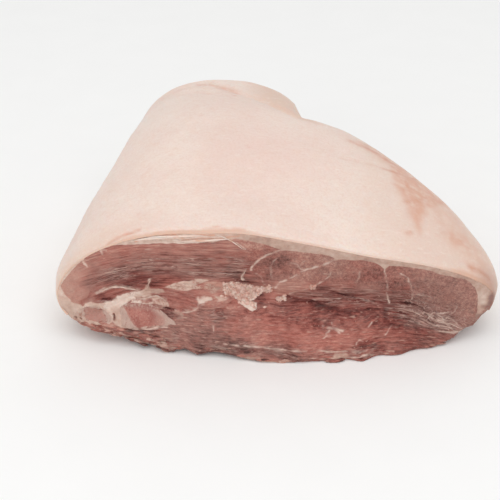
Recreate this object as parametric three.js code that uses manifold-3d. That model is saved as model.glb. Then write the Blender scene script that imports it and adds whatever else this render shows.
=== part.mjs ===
// A raw pork leg joint, bone in and rind on, lying on its inner side.
// The wide chump cut faces -Y, the narrow hock cut faces +Y, and the rind is on top.
// Millimetres, +Z up. The origin is under the middle of the joint, on the surface that it lies on.
import * as THREE from "three";
import { mergeVertices } from "three/addons/utils/BufferGeometryUtils.js";
import Module from "manifold-3d";

// ---------- driving dimensions, in mm ----------
// The leg is a row of cross-sections between the chump cut (share 0) and the hock cut (share 1).
const LEG_LENGTH = 200;
const LEG = {
  share: [0, 0.1, 0.25, 0.45, 0.65, 0.85, 1],
  left: [-146, -149, -143, -131, -120, -111, -106], // widest point on the backbone side
  right: [146, 150, 145, 124, 92, 51, 25], // widest point on the belly side
  top: [90, 98, 107, 115, 118, 115, 113], // height of the crest
  bottom: [-6, -7, -7, -7, -6, -3, 1], // below 0 the meat is pressed flat
  crestX: [-62, -58, -52, -48, -46, -44, -42], // where the crest runs
  bellyX: [20, 18, 10, -3, -19, -34, -41], // where the lowest line runs
  widestZ: [34, 35, 39, 46, 52, 56, 57], // height of the widest points
  roundTopRight: [1.72, 1.75, 1.8, 1.95, 2.1, 2.15, 2.4], // superellipse powers, 2 is an ellipse
  roundTopLeft: [1.8, 1.8, 1.8, 1.9, 2, 2.1, 2.1],
  roundBottom: [2.45, 2.45, 2.4, 2.3, 2.2, 2.2, 2.2],
};

// The edge of the chump cut: low waves along the rind, and how far the inner thigh pushes forward.
const RIM_WAVES = [
  { x: -22, width: 26, rise: 3 },
  { x: 62, width: 30, rise: -3 },
];
const RIM_WAVE_REACH = 0.15; // share of the length where the waves have died out
const LIP = { push: 15, x: 10, width: 72, height: 60, power: 1.2 };
const END_SET_BACK = 16; // how far the two ends of the cut lie behind its middle
const HALF_WIDTH = 150;

// The seam between the muscles, which sinks into the chump cut.
const SEAM = {
  x: [-150, -120, -95, -60, -20, 20, 60, 100, 130, 150],
  z: [14, 22, 36, 44, 43, 39, 36, 31, 21, 16],
  depth: 11,
};

// Bones that end in the chump cut, and the one that ends in the hock cut. Angles in degrees.
const HIP_BONE = {
  x: -84.5, z: 25.5, halfWidth: 19, halfHeight: 9, power: 2.3, tilt: -4,
  into: 70, turnIn: 14, rise: 16, proud: 1,
};
const TAIL_BONE = {
  x: -118.5, z: 22.5, halfWidth: 11, halfHeight: 6, power: 2, tilt: -14,
  into: 38, turnIn: 10, rise: 12, proud: 1,
};
const SHANK_BONE = {
  x: -48, z: 60, halfWidth: 17, halfHeight: 14, power: 2.2, tilt: 20,
  into: 60, turnIn: 0, rise: -6, proud: 2,
};
const BONE_GAP = 0.3; // between a bone and the meat around it
const SOCKET_MOUTH = 8; // how far a socket is cut out in front of its bone
const HOCK_DISH = 5; // how far the meat of the hock cut has drawn back from its rind
const HOCK_FLAT = 80; // columns as long as this reach the full depth of that dish

// ---------- mesh fineness ----------
const AROUND = 80; // columns round a cross-section, an even number
const ALONG = 20; // rows from cut to cut
const FACE_ROWS = 12; // rows down the chump cut, half of them above the seam
const HOCK_ROWS = 6; // rows down the hock cut
const BONE_AROUND = 28;

// ---------- the leg's shape ----------
const clamp = THREE.MathUtils.clamp;

// A smooth curve through the given points, with the slope at each point set by its neighbours.
function curveThrough(xs, ys) {
  const last = xs.length - 1;
  const rise = xs.slice(1).map((x, i) => (ys[i + 1] - ys[i]) / (x - xs[i]));
  const slope = xs.map((x, i) => {
    if (i === 0) return rise[0];
    if (i === last) return rise[last - 1];
    const before = x - xs[i - 1];
    const after = xs[i + 1] - x;
    return (before * rise[i] + after * rise[i - 1]) / (before + after);
  });
  return (value) => {
    const x = clamp(value, xs[0], xs[last]);
    const i = Math.min(xs.findLastIndex((start) => start <= x), last - 1);
    const step = xs[i + 1] - xs[i];
    const t = (x - xs[i]) / step;
    const hold = (2 * t ** 3 - 3 * t ** 2 + 1) * ys[i] + (3 * t ** 2 - 2 * t ** 3) * ys[i + 1];
    const lean = (t ** 3 - 2 * t ** 2 + t) * slope[i] + (t ** 3 - t ** 2) * slope[i + 1];
    return hold + step * lean;
  };
}

const legCurve = Object.fromEntries(
  Object.entries(LEG)
    .filter(([name]) => name !== "share")
    .map(([name, values]) => [name, curveThrough(LEG.share, values)]),
);
const seamHeight = curveThrough(SEAM.x, SEAM.z);

const signedPower = (value, power) => Math.sign(value) * Math.abs(value) ** power;
const hill = (x, centre, width) => Math.exp(-(((x - centre) / width) ** 2));

// A point of the cross-section at a share of the length. Angle 0 is the belly side, a quarter turn the crest.
function sectionPoint(share, angle) {
  const at = (name) => legCurve[name](share);
  const onTop = Math.sin(angle) >= 0;
  const onRight = Math.cos(angle) >= 0;
  const middleX = at(onTop ? "crestX" : "bellyX");
  const power = 2 / at(onTop ? (onRight ? "roundTopRight" : "roundTopLeft") : "roundBottom");
  const reachX = onRight ? at("right") - middleX : middleX - at("left");
  const reachZ = onTop ? at("top") - at("widestZ") : at("widestZ") - at("bottom");
  const x = middleX + reachX * signedPower(Math.cos(angle), power);
  let z = at("widestZ") + reachZ * signedPower(Math.sin(angle), power);
  const fade = clamp(1 - share / RIM_WAVE_REACH, 0, 1) * Math.max(Math.sin(angle), 0);
  for (const wave of RIM_WAVES) z += wave.rise * fade * hill(x, wave.x, wave.width);
  return { x, z: Math.max(z, 0) };
}

// How far a point of the chump cut lies behind the plane y = 0, before the seam sinks in.
function cutPlane(x, z) {
  const low = clamp(1 - z / LIP.height, 0, 1) ** LIP.power;
  return END_SET_BACK * Math.abs(x / HALF_WIDTH) ** 3 - LIP.push * hill(x, LIP.x, LIP.width) * low;
}

// How far the muscle seam sinks in: steep on the thigh below it, a long slope up to the rind above it.
function seamDepth(x, z, topZ) {
  const seamZ = seamHeight(x);
  const above = clamp((z - seamZ) / Math.max(topZ - seamZ, 1), 0, 1);
  const below = clamp((seamZ - z) / Math.max(seamZ, 1), 0, 1);
  const ends = clamp(1 - Math.abs(x / HALF_WIDTH) ** 3, 0, 1);
  return SEAM.depth * ends * (z > seamZ ? (1 - above) ** 1.3 : (1 - below) ** 3);
}

const chumpCutY = (x, z, topZ = LEG.top[0]) => cutPlane(x, z) + seamDepth(x, z, topZ);
const hockCutY = () => LEG_LENGTH - HOCK_DISH;

function legPoint(share, angle) {
  const rim = sectionPoint(0, angle);
  const { x, z } = sectionPoint(share, angle);
  return new THREE.Vector3(x, (1 - share) * cutPlane(rim.x, rim.z) + share * LEG_LENGTH, z);
}

// Angles that space the columns evenly along the upper rim of the chump cut, mirrored onto the lower rim.
function columnAngles() {
  const fine = 720;
  const length = [0];
  for (let i = 1; i <= fine; i++) {
    const a = legPoint(0, (Math.PI * (i - 1)) / fine);
    length.push(length[i - 1] + a.distanceTo(legPoint(0, (Math.PI * i) / fine)));
  }
  const half = [];
  for (let j = 0; j <= AROUND / 2; j++) {
    const wanted = (length[fine] * j) / (AROUND / 2);
    half.push((Math.PI * length.findIndex((value) => value >= wanted - 1e-9)) / fine);
  }
  const lower = half.slice(1, -1).reverse();
  return [...half, ...lower.map((angle) => 2 * Math.PI - angle)];
}

// A closed body: rows of points round the leg, each end closed by columns from its upper to its lower rim.
function legBody() {
  const angles = columnAngles();
  const points = [];
  const faces = [];
  const add = (point) => points.push(point) - 1;
  const quad = (a, b, c, d) => faces.push([a, d, c], [a, c, b]);

  const rows = [];
  for (let i = 0; i <= ALONG; i++) {
    rows.push(angles.map((angle) => add(legPoint(i / ALONG, angle))));
  }
  for (let i = 0; i < ALONG; i++) {
    for (let j = 0; j < AROUND; j++) {
      const next = (j + 1) % AROUND;
      quad(rows[i][j], rows[i][next], rows[i + 1][next], rows[i + 1][j]);
    }
  }

  // Each column runs from the upper rim to the lower, and half its rows lie above the seam's share of the way.
  const closeEnd = (rim, rowsDown, seamShare, surfaceY, flip) => {
    const half = AROUND / 2;
    const columns = [];
    for (let j = 0; j <= half; j++) {
      const top = points[rim[j]];
      const foot = points[rim[(AROUND - j) % AROUND]];
      const seamAt = seamShare(top, foot);
      const column = [rim[j]];
      for (let k = 1; k < rowsDown && top !== foot; k++) {
        const halves = (2 * k) / rowsDown;
        const down = halves < 1 ? halves * seamAt : seamAt + (halves - 1) * (1 - seamAt);
        const point = top.clone().lerp(foot, down);
        point.y = surfaceY(point, down, top, foot);
        column.push(add(point));
      }
      while (column.length < rowsDown) column.push(rim[j]);
      columns.push([...column, rim[(AROUND - j) % AROUND]]);
    }
    for (let j = 0; j < half; j++) {
      for (let k = 0; k < rowsDown; k++) {
        const corners = [columns[j][k], columns[j][k + 1], columns[j + 1][k + 1], columns[j + 1][k]];
        if (flip) corners.reverse();
        quad(...corners);
      }
    }
  };

  const chumpSeam = (top, foot) => {
    const share = (top.z - seamHeight((top.x + foot.x) / 2)) / Math.max(top.z - foot.z, 1);
    return clamp(share, 0.2, 0.8);
  };
  closeEnd(rows[0], FACE_ROWS, chumpSeam, (point, down, top) => chumpCutY(point.x, point.z, top.z), false);
  closeEnd(rows[ALONG], HOCK_ROWS, () => 0.5, (point, down, top, foot) => {
    const across = clamp(top.distanceTo(foot) / HOCK_FLAT, 0, 1);
    return point.y - HOCK_DISH * across * Math.sin(Math.PI * down) ** 0.5;
  }, true);
  return meshGeometry(points, faces);
}

// ---------- bones ----------
// A bone runs into the meat from its sawn end, which follows the cut and stands a little proud of it.
// It narrows and turns on its way in. The socket is the same shape, wider by the gap and open at the cut.
function boneBody(bone, surfaceY, direction, socket) {
  const grow = socket ? BONE_GAP : 0;
  const rings = [
    { depth: socket ? -SOCKET_MOUTH : -bone.proud, size: socket ? 1 : 0.95 },
    { depth: -bone.proud * 0.4, size: 1 },
    { depth: bone.into * 0.3, size: 0.92 },
    { depth: bone.into * 0.65, size: 0.8 },
    { depth: bone.into * 0.93, size: 0.66 },
    { depth: bone.into + grow, size: 0.4 },
  ];
  const tilt = THREE.MathUtils.degToRad(bone.tilt);
  const points = [];
  for (const { depth, size } of rings) {
    const inside = clamp(depth / bone.into, 0, 1);
    for (let j = 0; j < BONE_AROUND; j++) {
      const angle = (2 * Math.PI * j) / BONE_AROUND;
      const wide = (bone.halfWidth * size + grow) * signedPower(Math.cos(angle), 2 / bone.power);
      const high = (bone.halfHeight * size + grow) * signedPower(Math.sin(angle), 2 / bone.power);
      const x = bone.x + bone.turnIn * inside + wide * Math.cos(tilt) - high * Math.sin(tilt);
      const z = bone.z + bone.rise * inside + wide * Math.sin(tilt) + high * Math.cos(tilt);
      const cutY = THREE.MathUtils.lerp(surfaceY(x, z), surfaceY(bone.x, bone.z), inside);
      points.push(new THREE.Vector3(x, cutY + direction * depth, z));
    }
  }

  const faces = [];
  const at = (i, j) => i * BONE_AROUND + (j % BONE_AROUND);
  const face = (a, b, c) => faces.push(direction > 0 ? [a, c, b] : [a, b, c]);
  const last = rings.length - 1;
  for (let j = 0; j < BONE_AROUND; j++) {
    for (let i = 0; i < last; i++) {
      face(at(i, j), at(i, j + 1), at(i + 1, j + 1));
      face(at(i, j), at(i + 1, j + 1), at(i + 1, j));
    }
    face(at(0, 0), at(0, j + 1), at(0, j));
    face(at(last, 0), at(last, j), at(last, j + 1));
  }
  return meshGeometry(points, faces);
}

// ---------- joining and cutting ----------
function meshGeometry(points, faces) {
  const geometry = new THREE.BufferGeometry();
  geometry.setAttribute("position", new THREE.Float32BufferAttribute(points.flatMap((p) => p.toArray()), 3));
  geometry.setIndex(faces.filter(([a, b, c]) => a !== b && b !== c && a !== c).flat());
  return mergeVertices(geometry, 1e-4);
}

const wasm = await Module();
wasm.setup();

function solidFrom(geometry) {
  return new wasm.Manifold(new wasm.Mesh({
    numProp: 3,
    vertProperties: geometry.attributes.position.array,
    triVerts: new Uint32Array(geometry.index.array),
  }));
}

function geometryFrom(solid) {
  const made = solid.getMesh();
  const geometry = new THREE.BufferGeometry();
  geometry.setAttribute("position", new THREE.BufferAttribute(new Float32Array(made.vertProperties), 3));
  geometry.setIndex(new THREE.BufferAttribute(new Uint32Array(made.triVerts), 1));
  geometry.computeVertexNormals();
  return geometry;
}

// ---------- materials ----------
const material = (color, roughness) => new THREE.MeshStandardMaterial({ color, roughness, metalness: 0 });
const RIND_AND_MEAT = material(0xe6c9bc, 0.45);
const HIP_BONE_FINISH = material(0xc8a89a, 0.55);
const TAIL_BONE_FINISH = material(0xcbb0a2, 0.55);
const SHANK_BONE_FINISH = material(0xd6c3b4, 0.55);

// ---------- the object ----------
const bones = [
  { name: "hip_bone", size: HIP_BONE, surfaceY: chumpCutY, direction: 1, finish: HIP_BONE_FINISH },
  { name: "tail_bone", size: TAIL_BONE, surfaceY: chumpCutY, direction: 1, finish: TAIL_BONE_FINISH },
  { name: "shank_bone", size: SHANK_BONE, surfaceY: hockCutY, direction: -1, finish: SHANK_BONE_FINISH },
];

let meat = solidFrom(legBody());
for (const { size, surfaceY, direction } of bones) {
  meat = meat.subtract(solidFrom(boneBody(size, surfaceY, direction, true)));
}
const meatGeometry = geometryFrom(meat);
meatGeometry.computeBoundingBox();
const box = meatGeometry.boundingBox;

const joint = new THREE.Group();
joint.position.set(-(box.min.x + box.max.x) / 2, -(box.min.y + box.max.y) / 2, -box.min.z);

function addPiece(name, geometry, finish) {
  const mesh = new THREE.Mesh(geometry, finish);
  mesh.name = name;
  joint.add(mesh);
}

addPiece("leg_meat", meatGeometry, RIND_AND_MEAT);
for (const { name, size, surfaceY, direction, finish } of bones) {
  addPiece(name, boneBody(size, surfaceY, direction, false), finish);
}

export default joint;
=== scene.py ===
# %% [markdown]
# # A raw pork leg joint
# The joint lies on its inner side. The wide chump cut faces the camera: lean muscles, the white seams
# between them, fat, and two sawn bones. Smooth pale rind wraps the rest and narrows towards the hock cut at
# the back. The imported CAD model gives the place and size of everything. This script adds the looks around
# it.

import bpy
import numpy as np
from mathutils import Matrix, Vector


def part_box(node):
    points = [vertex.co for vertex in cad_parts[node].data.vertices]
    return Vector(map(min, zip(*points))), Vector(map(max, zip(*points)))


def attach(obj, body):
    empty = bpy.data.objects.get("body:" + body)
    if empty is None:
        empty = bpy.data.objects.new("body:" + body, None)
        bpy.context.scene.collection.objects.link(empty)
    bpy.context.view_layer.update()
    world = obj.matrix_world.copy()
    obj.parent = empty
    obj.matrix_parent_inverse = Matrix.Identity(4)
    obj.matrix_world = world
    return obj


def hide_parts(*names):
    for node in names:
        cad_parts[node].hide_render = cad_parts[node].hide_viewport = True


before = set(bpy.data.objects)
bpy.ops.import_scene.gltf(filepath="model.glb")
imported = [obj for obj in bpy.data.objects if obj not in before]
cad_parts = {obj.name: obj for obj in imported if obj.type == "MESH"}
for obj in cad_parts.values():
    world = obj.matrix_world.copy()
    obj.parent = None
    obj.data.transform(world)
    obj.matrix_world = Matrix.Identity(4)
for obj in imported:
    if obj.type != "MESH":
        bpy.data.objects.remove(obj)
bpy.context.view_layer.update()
LEG_LOW, LEG_HIGH = (np.array(corner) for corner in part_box("leg_meat"))
print("the joint is", np.round((LEG_HIGH - LEG_LOW) * 1000), "mm")

# %% [markdown]
# ## The plan of the leg
# A leg tapers and twists from a wide, low oval at the chump to a narrow, tall one at the hock. One way to
# make it is to sculpt it. Here it is lofted instead: a few named curves say how each measure of the
# cross-section changes along the leg, so that every later piece can ask for the same surface. Measures are
# in millimetres, with y = 0 at the chump cut. They are the CAD model's own, and the last lines of the cell
# fit them to its box.

# %% The leg as a loft
SHARE = [0, 0.1, 0.25, 0.45, 0.65, 0.85, 1]  # of the way from the chump cut to the hock cut
LEG = {
    "left": [-146, -149, -143, -131, -120, -111, -106],
    "right": [146, 150, 145, 124, 92, 51, 25],
    "top": [90, 98, 107, 115, 118, 115, 113],
    "bottom": [-6, -7, -7, -7, -6, -3, 1],  # below 0 the meat is pressed flat
    "crest": [-62, -58, -52, -48, -46, -44, -42],
    "belly": [20, 18, 10, -3, -19, -34, -41],
    "widest": [34, 35, 39, 46, 52, 56, 57],
    "round_top_right": [1.72, 1.75, 1.8, 1.95, 2.1, 2.15, 2.4],
    "round_top_left": [1.8, 1.8, 1.8, 1.9, 2, 2.1, 2.1],
    "round_bottom": [2.45, 2.45, 2.4, 2.3, 2.2, 2.2, 2.2],
}
LEG_LENGTH = 200
RIM_WAVES = [(-22, 26, 3), (62, 30, -3)]  # place, width and rise of the low waves along the cut's upper edge
RIM_WAVE_REACH = 0.15  # share of the length over which the waves die out
LIP_PUSH, LIP_X, LIP_WIDTH, LIP_HEIGHT, LIP_POWER = 15, 10, 72, 60, 1.2  # how the thigh pushes forward
END_SET_BACK = 16  # mm that the ends of the chump cut lie behind its middle
HALF_WIDTH = 150
# The seam between the muscles: its line across the chump cut, and how deep it sinks in.
SEAM_X = [-150, -120, -95, -60, -20, 20, 60, 100, 130, 150]
SEAM_Z = [14, 22, 36, 44, 43, 39, 36, 31, 21, 16]
SEAM_DEPTH = 11
HOCK_DISH = 5  # mm that the middle of the hock cut lies deeper than its rim


def curve(xs, ys, x):
    """A smooth curve through points: cubic pieces whose slope at each point comes from its neighbours."""
    xs, ys = np.array(xs, float), np.array(ys, float)
    slope = np.gradient(ys, xs)
    x = np.clip(x, xs[0], xs[-1])
    i = np.clip(np.searchsorted(xs, x, side="right") - 1, 0, len(xs) - 2)
    span = xs[i + 1] - xs[i]
    t = (x - xs[i]) / span
    hold = (2 * t**3 - 3 * t**2 + 1) * ys[i] + (3 * t**2 - 2 * t**3) * ys[i + 1]
    lean = (t**3 - 2 * t**2 + t) * slope[i] + (t**3 - t**2) * slope[i + 1]
    return hold + span * lean


def hill(x, centre, width):
    """A bell-shaped hill, 1 high."""
    return np.exp(-(((x - centre) / width) ** 2))


def section(share, angle):
    """x and z of the cross-section at a share of the length: a superellipse whose four quarters differ.
    Angle 0 is the belly side and a quarter turn is the crest."""
    at = {name: curve(SHARE, values, share) for name, values in LEG.items()}
    on_top, on_right = np.sin(angle) >= 0, np.cos(angle) >= 0
    middle = np.where(on_top, at["crest"], at["belly"])
    top_power = np.where(on_right, at["round_top_right"], at["round_top_left"])
    power = 2 / np.where(on_top, top_power, at["round_bottom"])
    reach_x = np.where(on_right, at["right"] - middle, middle - at["left"])
    reach_z = np.where(on_top, at["top"] - at["widest"], at["widest"] - at["bottom"])
    x = middle + reach_x * np.sign(np.cos(angle)) * np.abs(np.cos(angle)) ** power
    z = at["widest"] + reach_z * np.sign(np.sin(angle)) * np.abs(np.sin(angle)) ** power
    fade = np.clip(1 - share / RIM_WAVE_REACH, 0, 1) * np.maximum(np.sin(angle), 0)
    for centre, width, rise in RIM_WAVES:
        z = z + rise * fade * hill(x, centre, width)
    return x, np.maximum(z, 0)


def cut_plane(x, z):
    """How far the cut lies behind y = 0: its ends are set back, and the thigh at its foot pushes forward."""
    low = np.clip(1 - z / LIP_HEIGHT, 0, 1) ** LIP_POWER
    return END_SET_BACK * np.abs(x / HALF_WIDTH) ** 3 - LIP_PUSH * hill(x, LIP_X, LIP_WIDTH) * low


def skin(share, angle):
    """The leg's outer surface as points: the sections, each set back by its share of the length."""
    share, angle = np.broadcast_arrays(np.asarray(share, float), np.asarray(angle, float))
    x, z = section(share, angle)
    rim_x, rim_z = section(np.zeros_like(share), angle)
    y = (1 - share) * cut_plane(rim_x, rim_z) + share * LEG_LENGTH
    return np.stack([x, y, z], -1)


def seam_depth(x, z, top):
    """How far the seam between the muscles sinks in: steep below it, a long slope up to the rind above it."""
    seam = curve(SEAM_X, SEAM_Z, x)
    above = np.clip((z - seam) / np.maximum(top - seam, 1), 0, 1)
    below = np.clip((seam - z) / np.maximum(seam, 1), 0, 1)
    ends = np.clip(1 - np.abs(x / HALF_WIDTH) ** 3, 0, 1)
    return SEAM_DEPTH * ends * np.where(z > seam, (1 - above) ** 1.3, (1 - below) ** 3)


every_share, every_angle = np.meshgrid(np.linspace(0, 1, 201), np.linspace(0, 2 * np.pi, 721), indexing="ij")
whole = skin(every_share, every_angle).reshape(-1, 3)
PLAN_LOW, PLAN_HIGH = whole.min(0), whole.max(0)


def place(points):
    """Plan millimetres to the frame's metres."""
    return LEG_LOW + (points - PLAN_LOW) / (PLAN_HIGH - PLAN_LOW) * (LEG_HIGH - LEG_LOW)


print("plan", np.round(PLAN_HIGH - PLAN_LOW, 1), "mm")
print("metres per plan millimetre", np.round((LEG_HIGH - LEG_LOW) / (PLAN_HIGH - PLAN_LOW), 6))

# %% [markdown]
# ## Helpers for uneven, natural surfaces
# Meat has no straight line in it. Two tools give that: soft noise, which is random heights on a lattice
# joined smoothly, and the distance to a bent line, which turns a drawn vein of fat into a field that any
# vertex can read. Both work on whole arrays, so a surface of a hundred thousand points takes well under a
# second.

# %% Noise and distance
LATTICE = np.random.default_rng(11).random((256, 256)) * 2 - 1


def soft_noise(u, v, seed=0):
    """Random heights from -1 to 1 at whole numbers of u and v, joined by smooth steps."""
    u, v = u + 17.31 * seed, v + 31.77 * seed
    i, j = np.floor(u).astype(int), np.floor(v).astype(int)
    a, b = u - i, v - j
    a, b = a**3 * (a * (6 * a - 15) + 10), b**3 * (b * (6 * b - 15) + 10)
    low = LATTICE[i % 256, j % 256] * (1 - a) + LATTICE[(i + 1) % 256, j % 256] * a
    high = LATTICE[i % 256, (j + 1) % 256] * (1 - a) + LATTICE[(i + 1) % 256, (j + 1) % 256] * a
    return low * (1 - b) + high * b


def rough_noise(u, v, layers=4, seed=0):
    """Layers of soft noise, each turned, twice as fine and half as high as the last. About -1 to 1."""
    total, height = 0, 1
    for layer in range(layers):
        total = total + height * soft_noise(u, v, seed + 3 * layer)
        u, v = 1.6 * u - 1.2 * v, 1.2 * u + 1.6 * v
        height = height / 2
    return total / 1.5


def step(low, high, value):
    """0 below low, 1 above high, smooth between. With low above high it falls instead."""
    t = np.clip((value - low) / (high - low), 0, 1)
    return t * t * (3 - 2 * t)


def bent(points, between=6):
    """Extra points along a smooth curve through the given ones, spaced by their distance."""
    points = np.array(points, float)
    if len(points) < 3:
        return points
    along = np.concatenate([[0], np.cumsum(np.linalg.norm(np.diff(points, axis=0), axis=1))])
    fine = np.linspace(0, along[-1], between * (len(points) - 1) + 1)
    return np.stack([curve(along, points[:, k], fine) for k in range(points.shape[1])], -1)


def line_distance(x, z, points):
    """Distance in mm to a smooth line through the points, and the share of its length at the nearest spot."""
    line = bent(points)
    lengths = np.linalg.norm(np.diff(line, axis=0), axis=1)
    start = np.concatenate([[0], np.cumsum(lengths)])
    best, along = np.full(x.shape, 1e9), np.zeros(x.shape)
    for a, b, length, begin in zip(line, line[1:], lengths, start):
        t = np.clip(((x - a[0]) * (b[0] - a[0]) + (z - a[1]) * (b[1] - a[1])) / length**2, 0, 1)
        gap = np.hypot(x - a[0] - t * (b[0] - a[0]), z - a[1] - t * (b[1] - a[1]))
        nearer = gap < best
        best, along = np.where(nearer, gap, best), np.where(nearer, begin + t * length, along)
    return best, along / start[-1]


def groove_depth(x, z, grooves):
    """Depth in mm of grooves, each given by its depth, its width and its line: a bell across that width."""
    return sum(deep * hill(line_distance(x, z, line)[0], 0, wide) for deep, wide, line in grooves)


def inside_depth(x, z, outline):
    """Distance to a closed outline in mm, positive inside it. A point is inside where a ray from it crosses
    the outline an odd number of times."""
    loop = np.array(outline + outline[:1], float)
    inside = np.zeros(x.shape, bool)
    gap = np.full(x.shape, 1e9)
    for (ax, az), (bx, bz) in zip(loop, loop[1:]):
        inside ^= ((az > z) != (bz > z)) & (x < ax + (bx - ax) * (z - az) / (bz - az + 1e-12))
        t = np.clip(((x - ax) * (bx - ax) + (z - az) * (bz - az)) / ((bx - ax) ** 2 + (bz - az) ** 2), 0, 1)
        gap = np.minimum(gap, np.hypot(x - ax - t * (bx - ax), z - az - t * (bz - az)))
    return np.where(inside, gap, -gap)


print("noise spans", np.round(np.ptp(soft_noise(whole[:, 0] / 9, whole[:, 1] / 9)), 2))

# %% [markdown]
# ## Putting a surface into a mesh
# Each piece is a closed shell. Its points come as an array in plan millimetres and its faces as rows of
# corner numbers. The signed volume tells whether the faces point outwards: it is positive when they do.

# %% Mesh building
def grid_faces(index, close_rows=False, close_columns=False):
    """The four-sided faces of a grid of point numbers. Closing joins its last row or column to the first."""
    if close_rows:
        index = np.vstack([index, index[:1]])
    if close_columns:
        index = np.hstack([index, index[:, :1]])
    corners = [index[:-1, :-1], index[:-1, 1:], index[1:, 1:], index[1:, :-1]]
    return np.stack(corners, -1).reshape(-1, 4)


def signed_volume(points, faces):
    """Volume, from a fan of tetrahedra to the origin. It is negative if the faces point inwards."""
    a, b, c, d = (points[faces[:, k]] for k in range(4))
    return (np.einsum("ij,ij->i", a, np.cross(b, c)) + np.einsum("ij,ij->i", a, np.cross(c, d))).sum() / 6


def filled(names, shape, **given):
    """An array of that shape for each name: the given value, which may be one number, or else 0."""
    return {name: np.zeros(shape) + given.get(name, 0) for name in names}


def add_object(name, data):
    """A new object of the scene that shows a mesh, a camera or a light."""
    made = bpy.data.objects.new(name, data)
    bpy.context.scene.collection.objects.link(made)
    return made


def make_piece(name, points, faces, finish, values=None):
    """A smooth-shaded mesh object from plan points and four-cornered faces, with named values on its points.
    A face that repeats a corner becomes a triangle."""
    if signed_volume(points, faces) < 0:
        faces = faces[:, ::-1]
    kept = [tuple(dict.fromkeys(face)) for face in faces.tolist()]
    mesh = bpy.data.meshes.new(name)
    mesh.from_pydata(place(points).tolist(), [], [face for face in kept if len(face) > 2])
    mesh.polygons.foreach_set("use_smooth", [True] * len(mesh.polygons))
    for key, value in (values or {}).items():
        kind = "FLOAT_VECTOR" if np.ndim(value) == 2 else "FLOAT"
        field = "vector" if np.ndim(value) == 2 else "value"
        mesh.attributes.new(key, kind, "POINT").data.foreach_set(field, np.ravel(value).astype(np.float32))
    mesh.materials.append(finish)
    piece = add_object(name, mesh)
    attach(piece, "root")
    triangles = sum(len(polygon.vertices) - 2 for polygon in mesh.polygons)
    print(name, triangles, "triangles,", round(abs(signed_volume(points, faces)) / 1000, 1), "cm3")
    return piece


print("3 by 4 points make", len(grid_faces(np.arange(12).reshape(3, 4))), "faces")

# %% [markdown]
# ## Helpers for materials
# A node material is a graph. One function adds a node, fills its inputs and gives its output, and a table
# holds what stays the same for each kind of node, so that each material below reads as a list of layers.
# Colours are given as sRGB hex, as a colour picker shows them, and turned to the linear values that the
# shader works in.

# %% Material helpers
KINDS = {  # name here: type of node, its settings, its inputs in the order of a call, and its output
    "place": ("ShaderNodeTexCoord", {}, (), "Object"),
    "value": ("ShaderNodeAttribute", {}, (), "Fac"),
    "vector": ("ShaderNodeAttribute", {}, (), "Vector"),
    "stretch": ("ShaderNodeMapping", {}, ("Vector", "Scale"), 0),
    "noise": ("ShaderNodeTexNoise", {}, ("Vector", "Scale", "Detail", "Roughness"), 0),
    "remap": ("ShaderNodeMapRange", {"interpolation_type": "SMOOTHSTEP"}, (0, 1, 2, 3, 4), 0),
    "mix": ("ShaderNodeMix", {}, (0, 2, 3), 0),
    "blend": ("ShaderNodeMix", {"data_type": "RGBA"}, (0, 6, 7), 2),
    "ramp": ("ShaderNodeValToRGB", {}, ("Fac",), 0),
    "bump": ("ShaderNodeBump", {}, ("Height", "Strength", "Distance"), 0),
    "times": ("ShaderNodeMath", {"operation": "MULTIPLY"}, (0, 1), 0),
    "times_plus": ("ShaderNodeMath", {"operation": "MULTIPLY_ADD"}, (0, 1, 2), 0),
    "minus": ("ShaderNodeMath", {"operation": "SUBTRACT"}, (0, 1), 0),
    "absolute": ("ShaderNodeMath", {"operation": "ABSOLUTE"}, (0,), 0),
    "larger": ("ShaderNodeMath", {"operation": "MAXIMUM"}, (0, 1), 0),
}


def linear(hex_colour):
    """An sRGB hex colour as linear red, green, blue and 1."""
    srgb = np.array([int(hex_colour[i : i + 2], 16) for i in (1, 3, 5)]) / 255
    return (*np.where(srgb <= 0.04045, srgb / 12.92, ((srgb + 0.055) / 1.055) ** 2.4), 1)


def fill(tree, made, inputs):
    """Fills a node's inputs, by name or number, from other nodes' outputs, plain values and hex colours."""
    for key, value in inputs.items():
        if isinstance(value, bpy.types.NodeSocket):
            tree.links.new(value, made.inputs[key])
        else:
            made.inputs[key].default_value = linear(value) if isinstance(value, str) else value


def node(tree, kind, *inputs, **settings):
    """Adds a node of that kind, with its settings and inputs, and gives its output."""
    type_name, usual, sockets, output = KINDS[kind]
    made = tree.nodes.new(type_name)
    for key, value in (usual | settings).items():
        setattr(made, key, value)
    fill(tree, made, dict(zip(sockets, inputs)))
    return made.outputs[output]


def start_material(name):
    """An empty node material, its tree and a Principled shader that is already linked to the output."""
    material = bpy.data.materials.new(name)
    material.use_nodes = True
    tree = material.node_tree
    tree.nodes.clear()
    shader = tree.nodes.new("ShaderNodeBsdfPrincipled")
    output = tree.nodes.new("ShaderNodeOutputMaterial")
    tree.links.new(shader.outputs[0], output.inputs[0])
    return material, tree, shader


def mesh_values(tree, names):
    """The values that the mesh carries under those names."""
    return {name: node(tree, "value", attribute_name=name) for name in names}


def spread(tree, where, detail, size_mm, stretch=(1, 1, 1), rough=0.5):
    """Noise from 0 to 1 whose largest lumps measure size_mm. stretch makes them longer along an axis."""
    scale = tuple(1000 / size_mm / s for s in stretch)
    return node(tree, "noise", node(tree, "stretch", where, scale), 1, detail, rough)


def sum_of(tree, *terms):
    """Adds up (output, factor) pairs: each output times its factor."""
    (value, factor), *others = terms
    total = node(tree, "times", value, factor)
    for value, factor in others:
        total = node(tree, "times_plus", value, factor, total)
    return total


def layered(tree, colour, *layers):
    """A colour with others laid over it in turn. Each layer is an amount from 0 to 1 and a colour."""
    for amount, over in layers:
        colour = node(tree, "blend", amount, colour, over)
    return colour


print("#808080 is", np.round(linear("#808080")[0], 3), "in linear light")

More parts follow.
